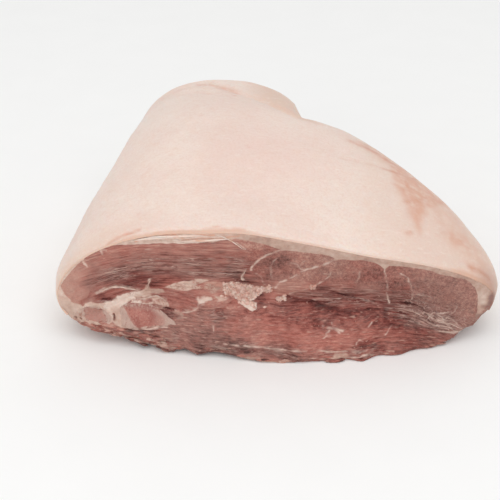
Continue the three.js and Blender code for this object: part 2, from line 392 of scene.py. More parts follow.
# %% [markdown]
# ## The rind's finish
# Raw pork skin that has been scalded and scraped is close to ivory, warmed by the fat and blood beneath it.
# Light enters it a few millimetres and comes out pinker, which softens every edge, so the shader gets a
# little subsurface light. Damp skin has a broad, weak sheen rather than a sharp gloss. Where handling
# bruised it, it turns orange pink. The mesh carries the large marks as values, and noise adds the mottling
# between them.

# %% Rind material
RIND_VALUES = ("pink", "tan", "blush", "stain_and_crease_shade", "raw_edge", "dried_and_shade")


def rind_finish():
    """Scalded raw pigskin: matt ivory with pink depth, faint mottling, fine pores and small creases."""
    material, tree, shader = start_material("scalded_raw_rind")
    where = node(tree, "place")
    value = mesh_values(tree, RIND_VALUES)
    clouds = spread(tree, where, 3, 55)
    mottle = spread(tree, where, 5, 7, rough=0.6)
    grain = spread(tree, where, 3, 1.6, rough=0.7)
    strokes = spread(tree, where, 4, 2.0, stretch=(3.5, 1.5, 1), rough=0.7)
    creases = spread(tree, where, 4, 7, stretch=(2.5, 1, 1))
    uneven = node(tree, "remap", mottle, 0.3, 0.62, 0.35, 1)
    colour = layered(
        tree, "#efdbd0",
        (node(tree, "remap", clouds, 0.35, 0.65), "#ebd3c8"),
        (value["pink"], "#eccec4"),
        # Darker tan: partly the skin's own, partly painted shade where the rind turns from the light.
        (value["tan"], "#dfc2b1"),
        (node(tree, "remap", mottle, 0.5, 0.8, 0, 0.4), "#e6c4b4"),
        (node(tree, "remap", grain, 0.42, 0.7, 0, 0.35), "#e0bcab"),
        (node(tree, "remap", strokes, 0.5, 0.72, 0, 0.3), "#f6e8df"),
        (node(tree, "times", value["blush"], uneven), "#d9a48c"),
        # Bruise stains, and faint painted shade along the fold and the creases.
        (node(tree, "times", value["stain_and_crease_shade"], uneven), "#d2967c"),
        (value["raw_edge"], "#dab09a"),
        # Dry skin at the belly side, and painted shade where the rind turns under.
        (value["dried_and_shade"], "#a07a6e"),
    )
    height = sum_of(tree, (grain, 0.35), (strokes, 0.25), (creases, 0.4))
    fill(tree, shader, {
        "Base Color": colour, "Roughness": 0.5, "IOR": 1.4,
        "Subsurface Weight": 0.25, "Subsurface Radius": (1.0, 0.45, 0.3), "Subsurface Scale": 0.004,
        "Normal": node(tree, "bump", height, 0.5, 0.0006)})
    return material


RIND = rind_finish()
print(RIND.name, len(RIND.node_tree.nodes), "nodes")

# %% [markdown]
# ## The rind
# The rind is a hide about 2 mm thick that wraps the leg. Underneath, where the leg was cut from the animal,
# it is open: its two edges start at the ends of the chump cut and meet under the shank. One way to make it
# is a surface with a Solidify modifier, but then the cut edge has no shape of its own. Here rows of points
# run along the outside, round the cut edge and back along the inside, so that the edge is rounded and can
# catch the light.

# %% Rind surface
RIND_THICK = 1.9
RIND_COLUMNS, RIND_ROWS, EDGE_ROWS = 380, 104, 5
EDGE_TURNED_IN, EDGE_THINNER = 0.9, 0.6  # mm, at the chump cut
OPEN_RIGHT, OPEN_LEFT = -12, 197  # angles in degrees where the rind ends at the chump cut
CLOSED = -90  # the angle at which its edges meet under the shank
MEET_SHARE = 0.62  # share of the length at which they meet
AXIS_X, AXIS_Z = [0, -45], 50.0  # the leg's axis: x at its two ends, and its height
# The fold between the thigh and the shank, as a line in x and y.
FOLD = [
    (-56, 195), (-45, 190), (-32, 178), (-20, 169), (-8, 162), (2, 155), (10, 148), (18, 139), (28, 128),
]
HOLLOW_X, HOLLOW_DEPTH = [17, 22, 32, 50, 80], [0, 6.2, 7.8, 6.4, 0]  # mm, across the joint
HOLLOW_BEHIND_THIGH, HOLLOW_BEFORE_HOCK = (133, 160), (199, 187)  # y, likewise
WRINKLES = [  # depth and width in mm, and x and y of fine creases in the skin
    (0.5, 2.2, [(-80, 192), (-60, 190), (-42, 183), (-28, 174)]),
    (0.4, 2.0, [(-84, 186), (-64, 182), (-45, 175), (-30, 166)]),
    (0.35, 2.0, [(-66, 174), (-48, 168), (-30, 160), (-14, 150)]),
    (0.3, 2.0, [(45, 84), (60, 85), (78, 86.5), (95, 91.6)]),
    (0.3, 1.6, [(40, 10), (52, 12), (64, 14.5)]),
    (0.6, 0.9, [(-108, 6.8), (-101, 7.0), (-94, 7.6), (-87, 7.8)]),
]


def rind_limits(share):
    """The angles of the rind's two edges: wide open at the chump cut, met but for a hair under the shank."""
    close = step(0.02, MEET_SHARE, share)
    right = OPEN_RIGHT + (CLOSED - OPEN_RIGHT) * close
    left = OPEN_LEFT + (360 + CLOSED - OPEN_LEFT) * close
    return np.radians(right + 0.2), np.radians(left - 0.2)


def outward(points):
    """Unit normals of a grid of points, from steps between neighbours, facing away from the leg's axis."""
    along = np.gradient(points, axis=0)
    across = np.gradient(points, axis=1)
    normal = np.cross(along, across)
    normal /= np.maximum(np.linalg.norm(normal, axis=-1, keepdims=True), 1e-9)
    axis_x = curve([0, LEG_LENGTH], AXIS_X, points[..., 1])
    out = points - np.stack([axis_x, points[..., 1], np.full(axis_x.shape, AXIS_Z)], -1)
    return normal * np.where((normal * out).sum(-1, keepdims=True) < 0, -1, 1)


def fold_gap(x, y):
    """Distance in mm beyond the fold, negative on the thigh's side, and the share of the way along it."""
    gap, along = line_distance(x, y, FOLD)
    return np.where(y > np.interp(x, *np.array(FOLD).T), gap, -gap), along


def rind_relief(points, share):
    """How far the outside stands off the plan: swells, a dent at the backbone side, creases, and the fold
    where the thigh bulges over the shank."""
    x, y, z = (points[..., k] for k in range(3))
    swell = 0.9 * rough_noise(x / 45, (y + z) / 45, 2, 5) + 0.2 * rough_noise(x / 12, (y + z) / 12, 2, 8)
    gap, along = fold_gap(x, y)
    on_top = step(60, 90, z)
    depth = curve([0, 0.25, 0.6, 0.85, 1], [0.4, 1.2, 2.2, 3.0, 0.5], along)
    fold = -depth * np.exp(-((gap / np.where(gap > 0, 3.2, 6)) ** 2))
    lip = 1.4 * hill(gap, 9, 6) * step(0.55, 0.85, along) * step(14, 8, x)
    lip = lip + 1.8 * hill(x, 10, 11) * step(160, 172, y)
    dent = 3.4 * hill(x, -140, 14) * hill(y, 38, 22) * hill(z, 60, 17)
    creases = groove_depth(x, y, WRINKLES)
    return (swell - dent) * step(0, 0.08, share) + (fold + lip - creases) * on_top


def hide(share, angle):
    """The outside of the joint and its normals: the plan with its relief. Behind the thigh, on the belly side
    of the round shank, it sinks into a hollow."""
    points = skin(share, angle)
    normal = outward(points)
    points = points + normal * rind_relief(points, share)[..., None]
    x, y = points[..., 0], points[..., 1]
    hollow = curve(HOLLOW_X, HOLLOW_DEPTH, x) * step(*HOLLOW_BEHIND_THIGH, y)
    points[..., 2] -= hollow * step(*HOLLOW_BEFORE_HOCK, y)
    return points, normal


def rind_shell():
    """The closed shell, and the share of the length of each of its points. Outer rows run from hock to chump,
    a rounded edge follows, then inner rows back, and the hock's edge."""
    share = np.linspace(1, 0.004, RIND_ROWS)[:, None] ** 1.15
    right, left = rind_limits(share)
    even = np.linspace(0, 1, RIND_COLUMNS)[None, :]
    angle = right + (left - right) * even
    # Equal steps of the angle become equal steps along the surface.
    steps = np.linalg.norm(np.diff(skin(share, angle), axis=1), axis=-1)
    length = np.concatenate([np.zeros((RIND_ROWS, 1)), np.cumsum(steps, axis=1)], axis=1)
    length /= length[:, -1:]
    angle = np.stack([np.interp(even[0], row, a) for row, a in zip(length, angle)])
    outer, normal = hide(share, angle)
    near_edge = step(0.03, 0, share)[..., None] ** 2
    outer = outer - normal * EDGE_TURNED_IN * near_edge
    outer[..., 2] = np.maximum(outer[..., 2], 0)
    inner = outer - normal * (RIND_THICK - EDGE_THINNER * near_edge)
    turn = np.linspace(0, np.pi, EDGE_ROWS + 2)[1:-1, None, None]

    def edge(out, inn, direction):
        """Rows that join the outside to the inside in a half round, a little flattened."""
        middle, half = (out + inn) / 2, (out - inn) / 2
        push = np.array([0, direction, 0]) * RIND_THICK / 2 * 0.8
        return middle[None] + half[None] * np.cos(turn) + push * np.sin(turn)

    front = edge(outer[-1], inner[-1], -1)
    back = edge(outer[0], inner[0], 1)[::-1]
    points = np.concatenate([outer, front, inner[::-1], back])
    shares = np.concatenate([share, np.zeros((EDGE_ROWS, 1)), share[::-1], np.ones((EDGE_ROWS, 1))])
    return points, np.broadcast_to(shares, points.shape[:2])


def rind_faces(rows, columns):
    """The tube of the shell closed by a ladder of faces along each of its two side edges."""
    index = np.arange(rows * columns).reshape(rows, columns)
    around = grid_faces(index, close_rows=True)
    ladders = []
    for column, flip in ((0, False), (columns - 1, True)):
        ring = np.roll(index[:, column], EDGE_ROWS // 2 + 1)
        pairs = np.stack([ring[: rows // 2], ring[::-1][: rows // 2]], -1)
        faces = grid_faces(pairs)
        ladders.append(faces[:, ::-1] if flip else faces)
    return np.concatenate([around, *ladders])


points, shares = rind_shell()
rows, columns = points.shape[:2]
x, y, z = (points[..., k] for k in range(3))
print("the rind's shell has", rows, "rows of", columns, "points")

# %% [markdown]
# ## Marks on the rind
# Handling has bruised the thigh's belly side and left thin stains. The skin beside the cut is torn or dry in
# places, and it darkens towards the ends: partly a tan of the skin, partly painted shade where the rind turns
# from the light. Faint painted shade also lies along the fold and the creases, and where the rind turns under
# at the belly side. An image painted on the rind could show all that. Here outlines and lines in x and y,
# with uneven borders, give each point its values, so no texture map is needed.

# %% Rind marks
BLUSHES = [  # strength, softness in mm, and outline in x and y of places that handling has bruised
    (0.4, 7, [(55, 112), (70, 116), (84, 110), (104, 88), (118, 70), (122, 56), (112, 62), (98, 78),
              (80, 92)]),
    (0.6, 4, [(60, 111), (74, 109), (88, 106), (100, 100), (112, 92), (122, 80), (126, 92), (100, 122),
              (60, 124)]),
    (0.8, 5, [(60, 113), (72, 112), (82, 110), (96, 118), (126, 100), (122, 76), (113, 66), (104, 56),
              (97, 40), (93.5, 28.5), (90, 33), (88.5, 50), (84, 66), (83, 85), (80, 98), (70, 104)]),
    (0.8, 10, [(112, 38), (120, 49), (131, 47), (133, 33), (122, 27), (113, 31)]),
    (0.35, 7, [(126, 40), (138, 44), (143, 30), (138, 22), (128, 26)]),
    (0.35, 9, [(100, 100), (125, 70), (140, 30), (120, 20), (100, 60)]),
]
MARKS = [  # strength, half width and line of darker stains, and of faint painted shade in the fold and creases
    (0.6, 2.8, [(56, 113), (64, 111.5), (74, 108.5), (86, 105)]),
    (0.7, 1.4, [(74, 86), (84, 88), (95, 91.6), (100, 96)]),
    (0.75, 0.8, [(-108, 7.6), (-101, 7.8), (-94, 8.4), (-87, 8.6)]),
    (0.5, 1.2, [(-46, 2), (-39, 3.4), (-32, 2.2), (-20, 1.8)]),
    (0.18, 1.4, [(45, 84), (60, 85), (76, 86.5)]),
    (0.5, 1.6, [(88, 54), (96, 60), (104, 69)]),
    (0.4, 1.6, [(86, 66), (92, 74), (90, 84)]),
    (0.5, 2.2, [(86, 24), (88, 25.5)]),
    (0.8, 3.0, [(129, 18), (135, 19.5), (141, 19)]),
    (0.5, 3.5, [(120, 8), (132, 12), (143, 16)]),
    (0.5, 3.0, [(-56, 191), (-46, 189), (-36, 182), (-26, 174)]),
    (0.1, 1.3, [(-20, 169.5), (-8, 162.5), (4, 154), (13, 146)]),
    (0.14, 2.5, [(-84, 190), (-62, 187), (-44, 179), (-30, 170)]),
    (0.12, 2.5, [(-70, 176), (-48, 168), (-30, 160)]),
    (0.6, 1.2, [(-28, 165), (-26.5, 164)]),
    (0.35, 1.0, [(-20, 81), (-18, 80)]),
    (0.35, 1.0, [(-53, 121), (-51.5, 121)]),
]
uneven_x, uneven_y = x + 2.5 * rough_noise(x / 9, y / 9, 2, 3), y + 2.5 * rough_noise(x / 9, y / 9, 2, 4)
upper_side = step(20, 40, z)
blush, stain_and_crease_shade = np.zeros(x.shape), np.zeros(x.shape)
for strength, soft, outline in BLUSHES:
    blush = np.maximum(blush, strength * step(-soft, soft, inside_depth(uneven_x, uneven_y, outline)))
# Stains, and faint painted shade along the fold and the creases.
for strength, width, line in MARKS:
    gap, _ = line_distance(0.4 * uneven_x + 0.6 * x, 0.4 * uneven_y + 0.6 * y, line)
    stain_and_crease_shade = np.maximum(stain_and_crease_shade, strength * hill(gap, 0, width))
pink = 0.7 * hill(x, -5, 40) * hill(y, 75, 40)
# Darker tan towards both ends and on the shank's round end: partly the skin's own tan, partly painted shade
# where the rind turns from the light.
tan = 0.4 * step(40, 80, x) + 0.4 * step(90, 150, x) + 0.35 * step(-118, -150, x)
tan = tan + 0.9 * step(-30, 2, x) * step(40, 24, x) * step(-1, 2, fold_gap(x, y)[0])  # the shank's round end
tan = tan + 0.7 * step(-60, -120, x) * step(30, 6, y)
# Where the skin is torn back, the raw edge is wider.
torn_back = np.clip(0.6 + 0.8 * rough_noise(x / 11, x * 0, 3, 15), 0, 1)
torn_back = torn_back * step(-104, -90, x) * step(-4, -18, x) + step(108, 122, x) * step(146, 138, x)
RAW_EDGE_X = [-146, -120, -90, -40, 0, 60, 100, 130, 146]
RAW_EDGE_STRENGTH = [0.7, 0.45, 0.8, 0.8, 0.6, 0.4, 0.35, 1, 1]
raw_edge = step(0.0075 + 0.0075 * torn_back, 0.002 + 0.007 * torn_back, shares)
raw_edge = raw_edge * curve(RAW_EDGE_X, RAW_EDGE_STRENGTH, x)
# At the belly side the skin beside the cut is dry and darker. Lower down, where the rind turns under, the
# darkening is painted shade.
dried_and_shade = step(0.02, 0.003, shares) * step(42, 29, z) * step(110, 130, x)
dried_and_shade = dried_and_shade + 0.42 * step(0.14, 0.02, shares) * step(124, 143, x) * step(66, 44, z)
values = {
    "blush": blush * upper_side, "stain_and_crease_shade": stain_and_crease_shade * upper_side, "pink": pink, "tan": np.clip(tan, 0, 1),
    "raw_edge": raw_edge, "dried_and_shade": np.clip(dried_and_shade, 0, 1)}
values = {key: value.ravel() for key, value in values.items()}
rind = make_piece("rind", points.reshape(-1, 3), rind_faces(rows, columns), RIND, values)
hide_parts("leg_meat")

# %% [markdown]
# ## The finish of the cut meat
# A cut through raw pork shows lean, fat and the skins between muscles. The lean's colour changes with how
# wet and freshly cut it is, from a wet brown purple to pale rose where its surface is dry, and in the clefts
# it is darker still, which is painted shade. So the mesh carries one number, tone, and a colour ramp turns it
# into lean. Noise stretched along the fibres shifts the tone, and the mesh carries coordinates that follow
# the fibres. Where the saw met the fibres end on, a rounder noise takes its place, as grain. Fat, and the
# silvery threads that wrap each bundle of fibres, are laid over the lean.

# %% Cut meat material
CUT_VALUES = (
    "tone", "blood", "across", "short", "calm", "thread", "net",
    "fat", "fat_tone", "seam", "orange", "stained", "deep",
)
GREY_LEAN = ["#48302b", "#74514a", "#93695f", "#ab7c6f", "#c79f90"]
RED_LEAN = ["#3f120f", "#733730", "#9d5a4f", "#b57164", "#cb9180"]
FAT_COLOURS = ["#93736a", "#ab897c", "#c3a292", "#d2b6a7", "#e3cdc0"]
MEAN_SHADE = 0.81  # about what the noises of fibre and patches add to the tone on average


def with_stops(ramp, colours):
    """Gives a ramp those colours, at equal steps from 0 to 1."""
    stops = ramp.node.color_ramp.elements
    while len(stops) < len(colours):
        stops.new(0.5)
    for stop, position, colour in zip(stops, np.linspace(0, 1, len(colours)), colours):
        stop.position, stop.color = position, linear(colour)
    return ramp


def level_lines(tree, noise, level, wide):
    """Thin lines: 1 where a noise passes a level, and 0 where it differs from it by wide or more."""
    return node(tree, "remap", node(tree, "absolute", node(tree, "minus", noise, level)), 0, wide, 1, 0)


def thread_lines(tree, flow, level):
    """The stronger of two sets of thin lines along the fibres, one coarse and one fine."""
    coarse = spread(tree, flow, 2, 2.6, stretch=(14, 1, 1))
    fine = spread(tree, flow, 2, 1.5, stretch=(9, 1, 1))
    return node(tree, "larger", level_lines(tree, coarse, level, 0.04), level_lines(tree, fine, level, 0.04))


def cut_finish():
    """Freshly cut raw pork: streaky lean from grey rose to blood red, waxy fat, silvery threads, all damp."""
    material, tree, shader = start_material("freshly_cut_raw_pork")
    where = node(tree, "place")
    flow = node(tree, "vector", attribute_name="flow")
    value = mesh_values(tree, CUT_VALUES)

    # Lean: strands along the fibres, grain across them and broad patches shift the tone given to the ramps.
    long_strands = spread(tree, flow, 3, 1.5, stretch=(9, 1, 1), rough=0.8)
    short_strands = spread(tree, flow, 3, 1.5, stretch=(3.5, 1, 1), rough=0.75)
    strands = node(tree, "mix", value["short"], long_strands, short_strands)
    grains = spread(tree, where, 5, 1.8, stretch=(1.3, 1, 1.3), rough=0.9)
    grains = node(tree, "remap", grains, 0.3, 0.7, 0.27, 0.75)
    fibre = node(tree, "mix", value["calm"], node(tree, "mix", value["across"], strands, grains), 0.5)
    patches = node(tree, "mix", value["calm"], spread(tree, where, 4, 8), 0.5)
    shade = node(tree, "minus", sum_of(tree, (value["tone"], 1.0), (fibre, 1.3), (patches, 0.35)), MEAN_SHADE)
    redness = sum_of(tree, (value["blood"], 1.0), (spread(tree, where, 3, 6), 0.7))
    redness = node(tree, "remap", node(tree, "minus", redness, 0.35), 0, 1)
    grey_lean = with_stops(node(tree, "ramp", shade), GREY_LEAN)
    red_lean = with_stops(node(tree, "ramp", shade), RED_LEAN)

    # Threads, flecks of fat and the net of skins, laid over the lean. The dark lines just beside the threads
    # are painted shadow.
    silver = spread(tree, flow, 4, 1.5, stretch=(9, 1, 1), rough=0.8)
    silver = node(tree, "times", node(tree, "remap", silver, 0.46, 0.66, 0, 0.7), value["thread"])
    come_and_go = node(tree, "remap", spread(tree, flow, 2, 5, stretch=(3, 1, 1)), 0.4, 0.6)
    come_and_go = node(tree, "times", come_and_go, value["thread"])
    lines = node(tree, "times", thread_lines(tree, flow, 0.5), come_and_go)
    # Painted shadow: dark lines just beside the pale threads.
    gaps = node(tree, "times", thread_lines(tree, flow, 0.56), come_and_go)
    flecks = node(tree, "remap", spread(tree, flow, 2, 1.3, stretch=(2.8, 1.5, 1)), 0.65, 0.75, 0, 0.55)
    strokes = node(tree, "remap", spread(tree, flow, 2, 1.5, stretch=(6, 1, 1)), 0.61, 0.72, 0, 0.6)
    flecks = node(tree, "larger", flecks, node(tree, "times", strokes, value["short"]))
    net = level_lines(tree, spread(tree, where, 2, 4.5, rough=0.55), 0.5, 0.025)
    colour = layered(
        tree, grey_lean,
        (redness, red_lean),
        (silver, "#ab887d"),
        # Painted shadow beside the threads.
        (node(tree, "times", gaps, 0.6), "#643a32"),
        (node(tree, "times", lines, 0.75), "#caab9e"),
        (flecks, "#c69d8d"),
        (node(tree, "times", net, value["net"]), "#c5a598"),
    )

    # Fat: its own ramp, stained where blood has reached it and darkened by painted shade in the clefts. Noise
    # breaks its border with the lean.
    wax = spread(tree, where, 4, 4)
    waxy = node(tree, "minus", sum_of(tree, (value["fat_tone"], 1.0), (wax, 0.8)), 0.4)
    stains = node(tree, "remap", spread(tree, where, 4, 2.6, rough=0.7), 0.46, 0.62)
    fat_colour = layered(
        tree, with_stops(node(tree, "ramp", waxy), FAT_COLOURS),
        (value["orange"], "#d99f86"),
        (node(tree, "times", stains, value["stained"]), "#a3675b"),
        # Painted shade in the clefts.
        (value["deep"], "#7a4036"),
    )
    seams = node(tree, "times", value["seam"], node(tree, "remap", wax, 0.3, 0.6, 0.7, 1))
    fat_edge = node(tree, "remap", sum_of(tree, (value["fat"], 1.0), (wax, 0.7)), 0.5, 1.15)
    colour = layered(tree, colour, (seams, "#d8bcae"), (fat_edge, fat_colour))
    height = sum_of(tree, (fibre, 0.7), (lines, 0.15), (wax, 0.15))
    fill(tree, shader, {
        "Base Color": colour, "Roughness": node(tree, "remap", fibre, 0.3, 0.7, 0.55, 0.38), "IOR": 1.38,
        "Specular IOR Level": 0.35, "Normal": node(tree, "bump", height, 0.8, 0.0008),
        "Subsurface Weight": 0.1, "Subsurface Radius": (1.0, 0.35, 0.25), "Subsurface Scale": 0.0015})
    return material


CUT = cut_finish()
print(CUT.name, len(CUT.node_tree.nodes), "nodes")

# %% [markdown]
# ## The chart of the chump cut
# Before any surface is made, the cut is drawn like a butcher's chart: where the lean ends under the fat,
# where the seams run, which places are dark and which are pale. Each is a few points in x and z, in plan
# millimetres, with x from the backbone side to the belly side. Drawing is slow, but no noise would
# put the muscles, the bones and the fat between them where a pig has them.

# %% Chart: lean and seams
LEAN_TOP = [  # the line where the lean ends under the fat
    (-146, 44), (-141.4, 44.4), (-139, 48.6), (-130, 60.2), (-120, 70.8), (-112, 76.2), (-107, 77.8),
    (-100, 78.6), (-90, 79.4), (-80, 80.6), (-70, 81), (-60, 81.4), (-50, 82.2), (-40, 83.3), (-34, 85),
    (-26, 86.2), (-19, 85), (-10, 82.7), (-4, 80.8), (4, 77.2), (12, 76.8), (24, 75), (34, 73.2), (38, 70),
    (44, 70.3), (54, 69.6), (62, 67.8), (67, 64.8), (70, 61.8), (72.5, 64.2), (80, 63.8), (90, 62.3),
    (101, 59), (106, 56.4), (113, 54.6), (120, 52.4), (126, 49), (131, 43.5), (134, 36), (134.8, 26),
    (136, 10),
]
VEINS = [  # half width in mm, strength, and the line of each vein of fat or seam between muscles
    (0.75, 0.85, [(4, 77.5), (-5, 73.8), (-10, 69.8), (-14, 64.8), (-16.5, 59.5)]),
    (0.5, 0.45, [(1, 71.5), (-2, 67), (-3.7, 63), (-3, 58), (-2.5, 54)]),
    (0.45, 0.45, [(-13, 56.5), (-10, 54), (-8.5, 50), (-7.5, 47.5)]),
    (0.75, 0.95, [(38, 70.5), (34, 68), (26, 63.5), (18, 60.3), (12, 56), (6, 51.8), (2, 49.6),
                  (-0.5, 45.5)]),
    (0.55, 0.6, [(18, 60.5), (15, 62.8), (13, 65), (9, 66.3)]),
    (0.45, 0.45, [(15, 64), (16.5, 67), (18.5, 68.5)]),
    (0.4, 0.35, [(11, 66), (11.5, 71)]),
    (0.55, 0.55, [(35, 62), (34.5, 56), (31, 51.5), (24, 47.6), (16, 43.6), (9, 41)]),
    (0.45, 0.5, [(30.5, 58), (34, 57)]),
    (0.5, 0.85, [(70, 64), (70.3, 59), (72, 52.5), (73, 45), (73.7, 37), (75, 33.5)]),
    (0.5, 0.65, [(80.5, 57.5), (85, 54.8), (86.5, 50.5), (88.5, 45.5), (89.8, 41), (90, 34)]),
    (0.5, 0.5, [(55, 63.5), (53.5, 57), (53.3, 52.5), (51.5, 50)]),
    (1.2, 0.95, [(-118.5, 38.8), (-113, 42.2), (-107, 44.4), (-101, 44.2), (-96, 42.8), (-90, 41.5)]),
    (0.8, 0.9, [(-126.5, 66), (-124.3, 62.5), (-123, 59.8)]),
    (0.6, 0.8, [(-124.6, 65), (-121.4, 65.2)]),
    (0.8, 0.9, [(-114, 75), (-112.6, 73.4), (-111.8, 71)]),
    (0.6, 0.8, [(-112.5, 74.4), (-109, 73.6)]),
    (0.5, 0.4, [(-84, 76), (-80, 76.2)]),
    (0.6, 0.8, [(-37, 88.5), (-30, 86), (-25, 82), (-20, 77.5)]),
    (0.8, 0.9, [(-84.5, 43), (-83.5, 47), (-82.5, 51)]),
    (0.7, 0.8, [(-19.8, 60), (-20.8, 56.6), (-22.8, 53.2), (-21.6, 51.2)]),
    (0.5, 0.7, [(31, 16.3), (34.5, 18.3)]),
    (0.9, 0.65, [(31, 23), (35, 22.2), (38.4, 21.6), (44, 20)]),
    (0.7, 0.65, [(36.6, 24.6), (38.4, 21.6), (41.6, 19)]),
    (0.8, 0.6, [(35, 20.6), (33, 18), (36, 16.8)]),
    (0.6, 0.8, [(76.3, 20.5), (74.5, 17.5), (73, 14.5)]),
    (0.5, 0.6, [(53, 10), (55.5, 13), (57.5, 12)]),
    (0.5, 0.5, [(63, 24), (61, 21)]),
    (0.45, 0.6, [(-41.5, 22), (-41, 17)]),
    (0.6, 0.7, [(-34, 11.2), (-22, 10.8), (-8, 10.5), (10, 9), (20, 8.3)]),
    (0.6, 0.7, [(28, 8.4), (36, 7.4), (46, 6.6)]),
    (0.5, 0.3, [(46, 6.6), (56, 6), (68, 6)]),
    (0.7, 0.6, [(22, 3.2), (34, 2.4), (46, 1.8)]),
    (0.45, 0.85, [(109, 12.6), (114.7, 11), (120.3, 10.2), (126, 9.8), (130, 11.8)]),
    (0.35, 0.6, [(90, 39.4), (95, 38.4), (100, 37.3), (104, 35.6)]),
    (0.3, 0.6, [(89, 28.4), (97, 25.8), (106, 22), (111.6, 18.9), (116.5, 15)]),
    (0.4, 0.75, [(101, 23.5), (107, 20), (114, 17.5), (120, 14.5), (125, 11.2)]),
    (0.6, 0.9, [(-103, 15.6), (-95, 15.4), (-86, 16.4), (-78, 18.4), (-72, 19.4)]),
    (0.4, 0.5, [(-124, 32.3), (-116, 32.4), (-109, 31.8)]),
    (0.8, 0.85, [(-128.8, 25.6), (-124.4, 28.8), (-119, 28.8), (-113.6, 26.4), (-109.8, 23.6),
                 (-108, 20.8)]),
    (0.5, 0.6, [(-51.2, 39.6), (-50.2, 36.6), (-51.2, 33.4), (-54.6, 31), (-61.6, 29.7), (-66, 30.4)]),
    (0.5, 0.6, [(-38, 37.4), (-31, 38.6), (-25, 40)]),
    (0.4, 0.4, [(24, 37.6), (34, 36.9), (46, 37.6), (56, 36.2), (66, 33.8)]),
    (0.35, 0.55, [(100, 20.6), (104, 24.4), (110, 22), (112, 19.6), (119, 18), (123, 14.6)]),
    (0.35, 0.5, [(104, 24.4), (113, 23.6), (120, 23.8), (121, 27)]),
    (0.3, 0.5, [(112, 19.6), (116, 21), (119, 18)]),
    (0.3, 0.6, [(106, 17), (113, 15.4), (119, 13), (124, 10.4)]),
    (0.3, 0.5, [(96, 22), (102, 19.4), (110, 15), (116, 12.6)]),
    (0.45, 0.5, [(114, 11), (118.3, 9.7), (125.2, 9), (130, 10), (134, 13)]),
    (0.35, 0.4, [(116, 17.5), (120, 15.8), (123.6, 13.2), (129.6, 11), (134, 13.6)]),
    (0.55, 0.7, [(29, 1.8), (35.6, 3.2), (40, 4), (47.6, 2.4), (53, 2.6), (57.5, 3.5), (63.7, 2.6)]),
    (0.4, 0.45, [(38, 6.8), (45.5, 6.3), (54, 5.4), (62, 6), (70, 8)]),
]
print(len(VEINS), "veins and seams")

# %% [markdown]
# Fat comes in three kinds: smooth places with an outline, soft fat that is torn into grains, and fat that
# blood has stained.

# %% Chart: fat
FAT_SHAPES = [  # strength, softness of the border in mm, and outline of the larger places of fat and gristle
    (1.0, 0.9, [(-147, 47), (-142.4, 46), (-141.2, 40), (-138.8, 35), (-135, 30.6), (-130, 29),
                (-128.3, 27), (-130.5, 24), (-130, 20), (-127, 17.5), (-127, 15.6), (-131, 14), (-136, 15),
                (-141, 19), (-147, 26)]),
    (0.85, 1.2, [(-128.5, 27.5), (-127, 30), (-123, 31.6), (-118, 31), (-113, 31.6), (-109.5, 33),
                 (-107.5, 34.2), (-104, 36.2), (-100, 37.8), (-96, 39), (-93, 40.2), (-90, 41.6),
                 (-87, 42.6), (-84.6, 46.4), (-83, 46), (-82.6, 43.2), (-79, 42.4), (-75, 42), (-72, 40.4),
                 (-77, 39.4), (-84, 39), (-88, 37), (-92, 34.8), (-97, 32.6), (-101, 30.4), (-102, 28),
                 (-102.6, 24), (-102.4, 19), (-102.8, 16), (-107, 16.6), (-109, 19), (-108.6, 22.4),
                 (-112, 24.8), (-117, 26.8), (-122, 28), (-126, 27)]),
    (0.7, 1.3, [(-101, 30), (-97, 33), (-90, 37), (-84, 39), (-77, 39.5), (-71, 37), (-70, 32), (-76, 30.6),
                (-84, 32), (-94, 31)]),
    (0.83, 0.9, [(-74, 43.4), (-70, 45.6), (-65, 47.6), (-59, 50), (-55, 51), (-52, 50.6), (-51, 47.6),
                 (-45, 45.6), (-51.6, 43.4), (-59, 43.2), (-67, 42.8)]),
    (0.65, 1.0, [(-53, 52.4), (-47, 52), (-43, 50.6), (-48, 48), (-53, 47.6)]),
    (0.83, 1.1, [(-53, 38.8), (-47, 40.4), (-42, 39.8), (-41, 37.4), (-45, 36), (-51, 36)]),
    (0.6, 1.0, [(-41, 40.6), (-34.6, 41.4), (-33.4, 38.6), (-37, 38.2)]),
    (0.9, 0.9, [(-25.6, 37.6), (-18, 38), (-12.6, 36.8), (-13, 33), (-16, 31.8), (-20, 34.6)]),
    (0.5, 1.5, [(-45, 50), (-36, 50.4), (-34.6, 42), (-42, 41.4), (-48, 43.4)]),
    (0.6, 1.0, [(-68, 29.5), (-64, 30.5), (-60.5, 28), (-61, 26.5), (-66, 27.4)]),
    (0.5, 1.0, [(-65, 26), (-61, 26.6), (-60, 24), (-63, 22.4), (-66, 24)]),
    (0.35, 1.6, [(-60, 31), (-52, 34), (-46, 38), (-44, 36), (-50, 31), (-58, 28.6)]),
    (1.0, 0.9, [(133, 47), (134.8, 40), (135, 30), (134.6, 22), (134.4, 14.5), (136, 14), (141, 20),
                (145, 26), (147, 36), (141, 43)]),
    (0.6, 1.1, [(-26, 3.6), (-18, 4.2), (-8, 3), (12, 2.4), (14, -1), (-26, -1)]),
    (0.75, 1.2, [(35, 3.4), (39, 6), (46, 5.4), (52, 2), (44, 1)]),
]
GRANULAR_FAT = [  # outlines of the soft fat between the muscles, which has torn into grains
    [(-34.6, 48.6), (-30, 49.2), (-25, 48.6), (-20, 47.6), (-15, 46.2), (-11, 45), (-9, 43), (-10, 41),
     (-14, 40.4), (-14.4, 38.4), (-20, 37.8), (-24, 38), (-27, 40), (-30, 40.4), (-34, 42)],
    [(-12.6, 45.4), (-6.4, 45.2), (-6, 47), (-3.4, 46.8), (-2.6, 43), (-6, 41.8), (-12.6, 42)],
    [(0.4, 39.4), (6.4, 39.4), (6.4, 37.4), (0.6, 37)],
    [(22.5, 48.5), (25.5, 48.8), (26, 47), (23.3, 46.2)],
]
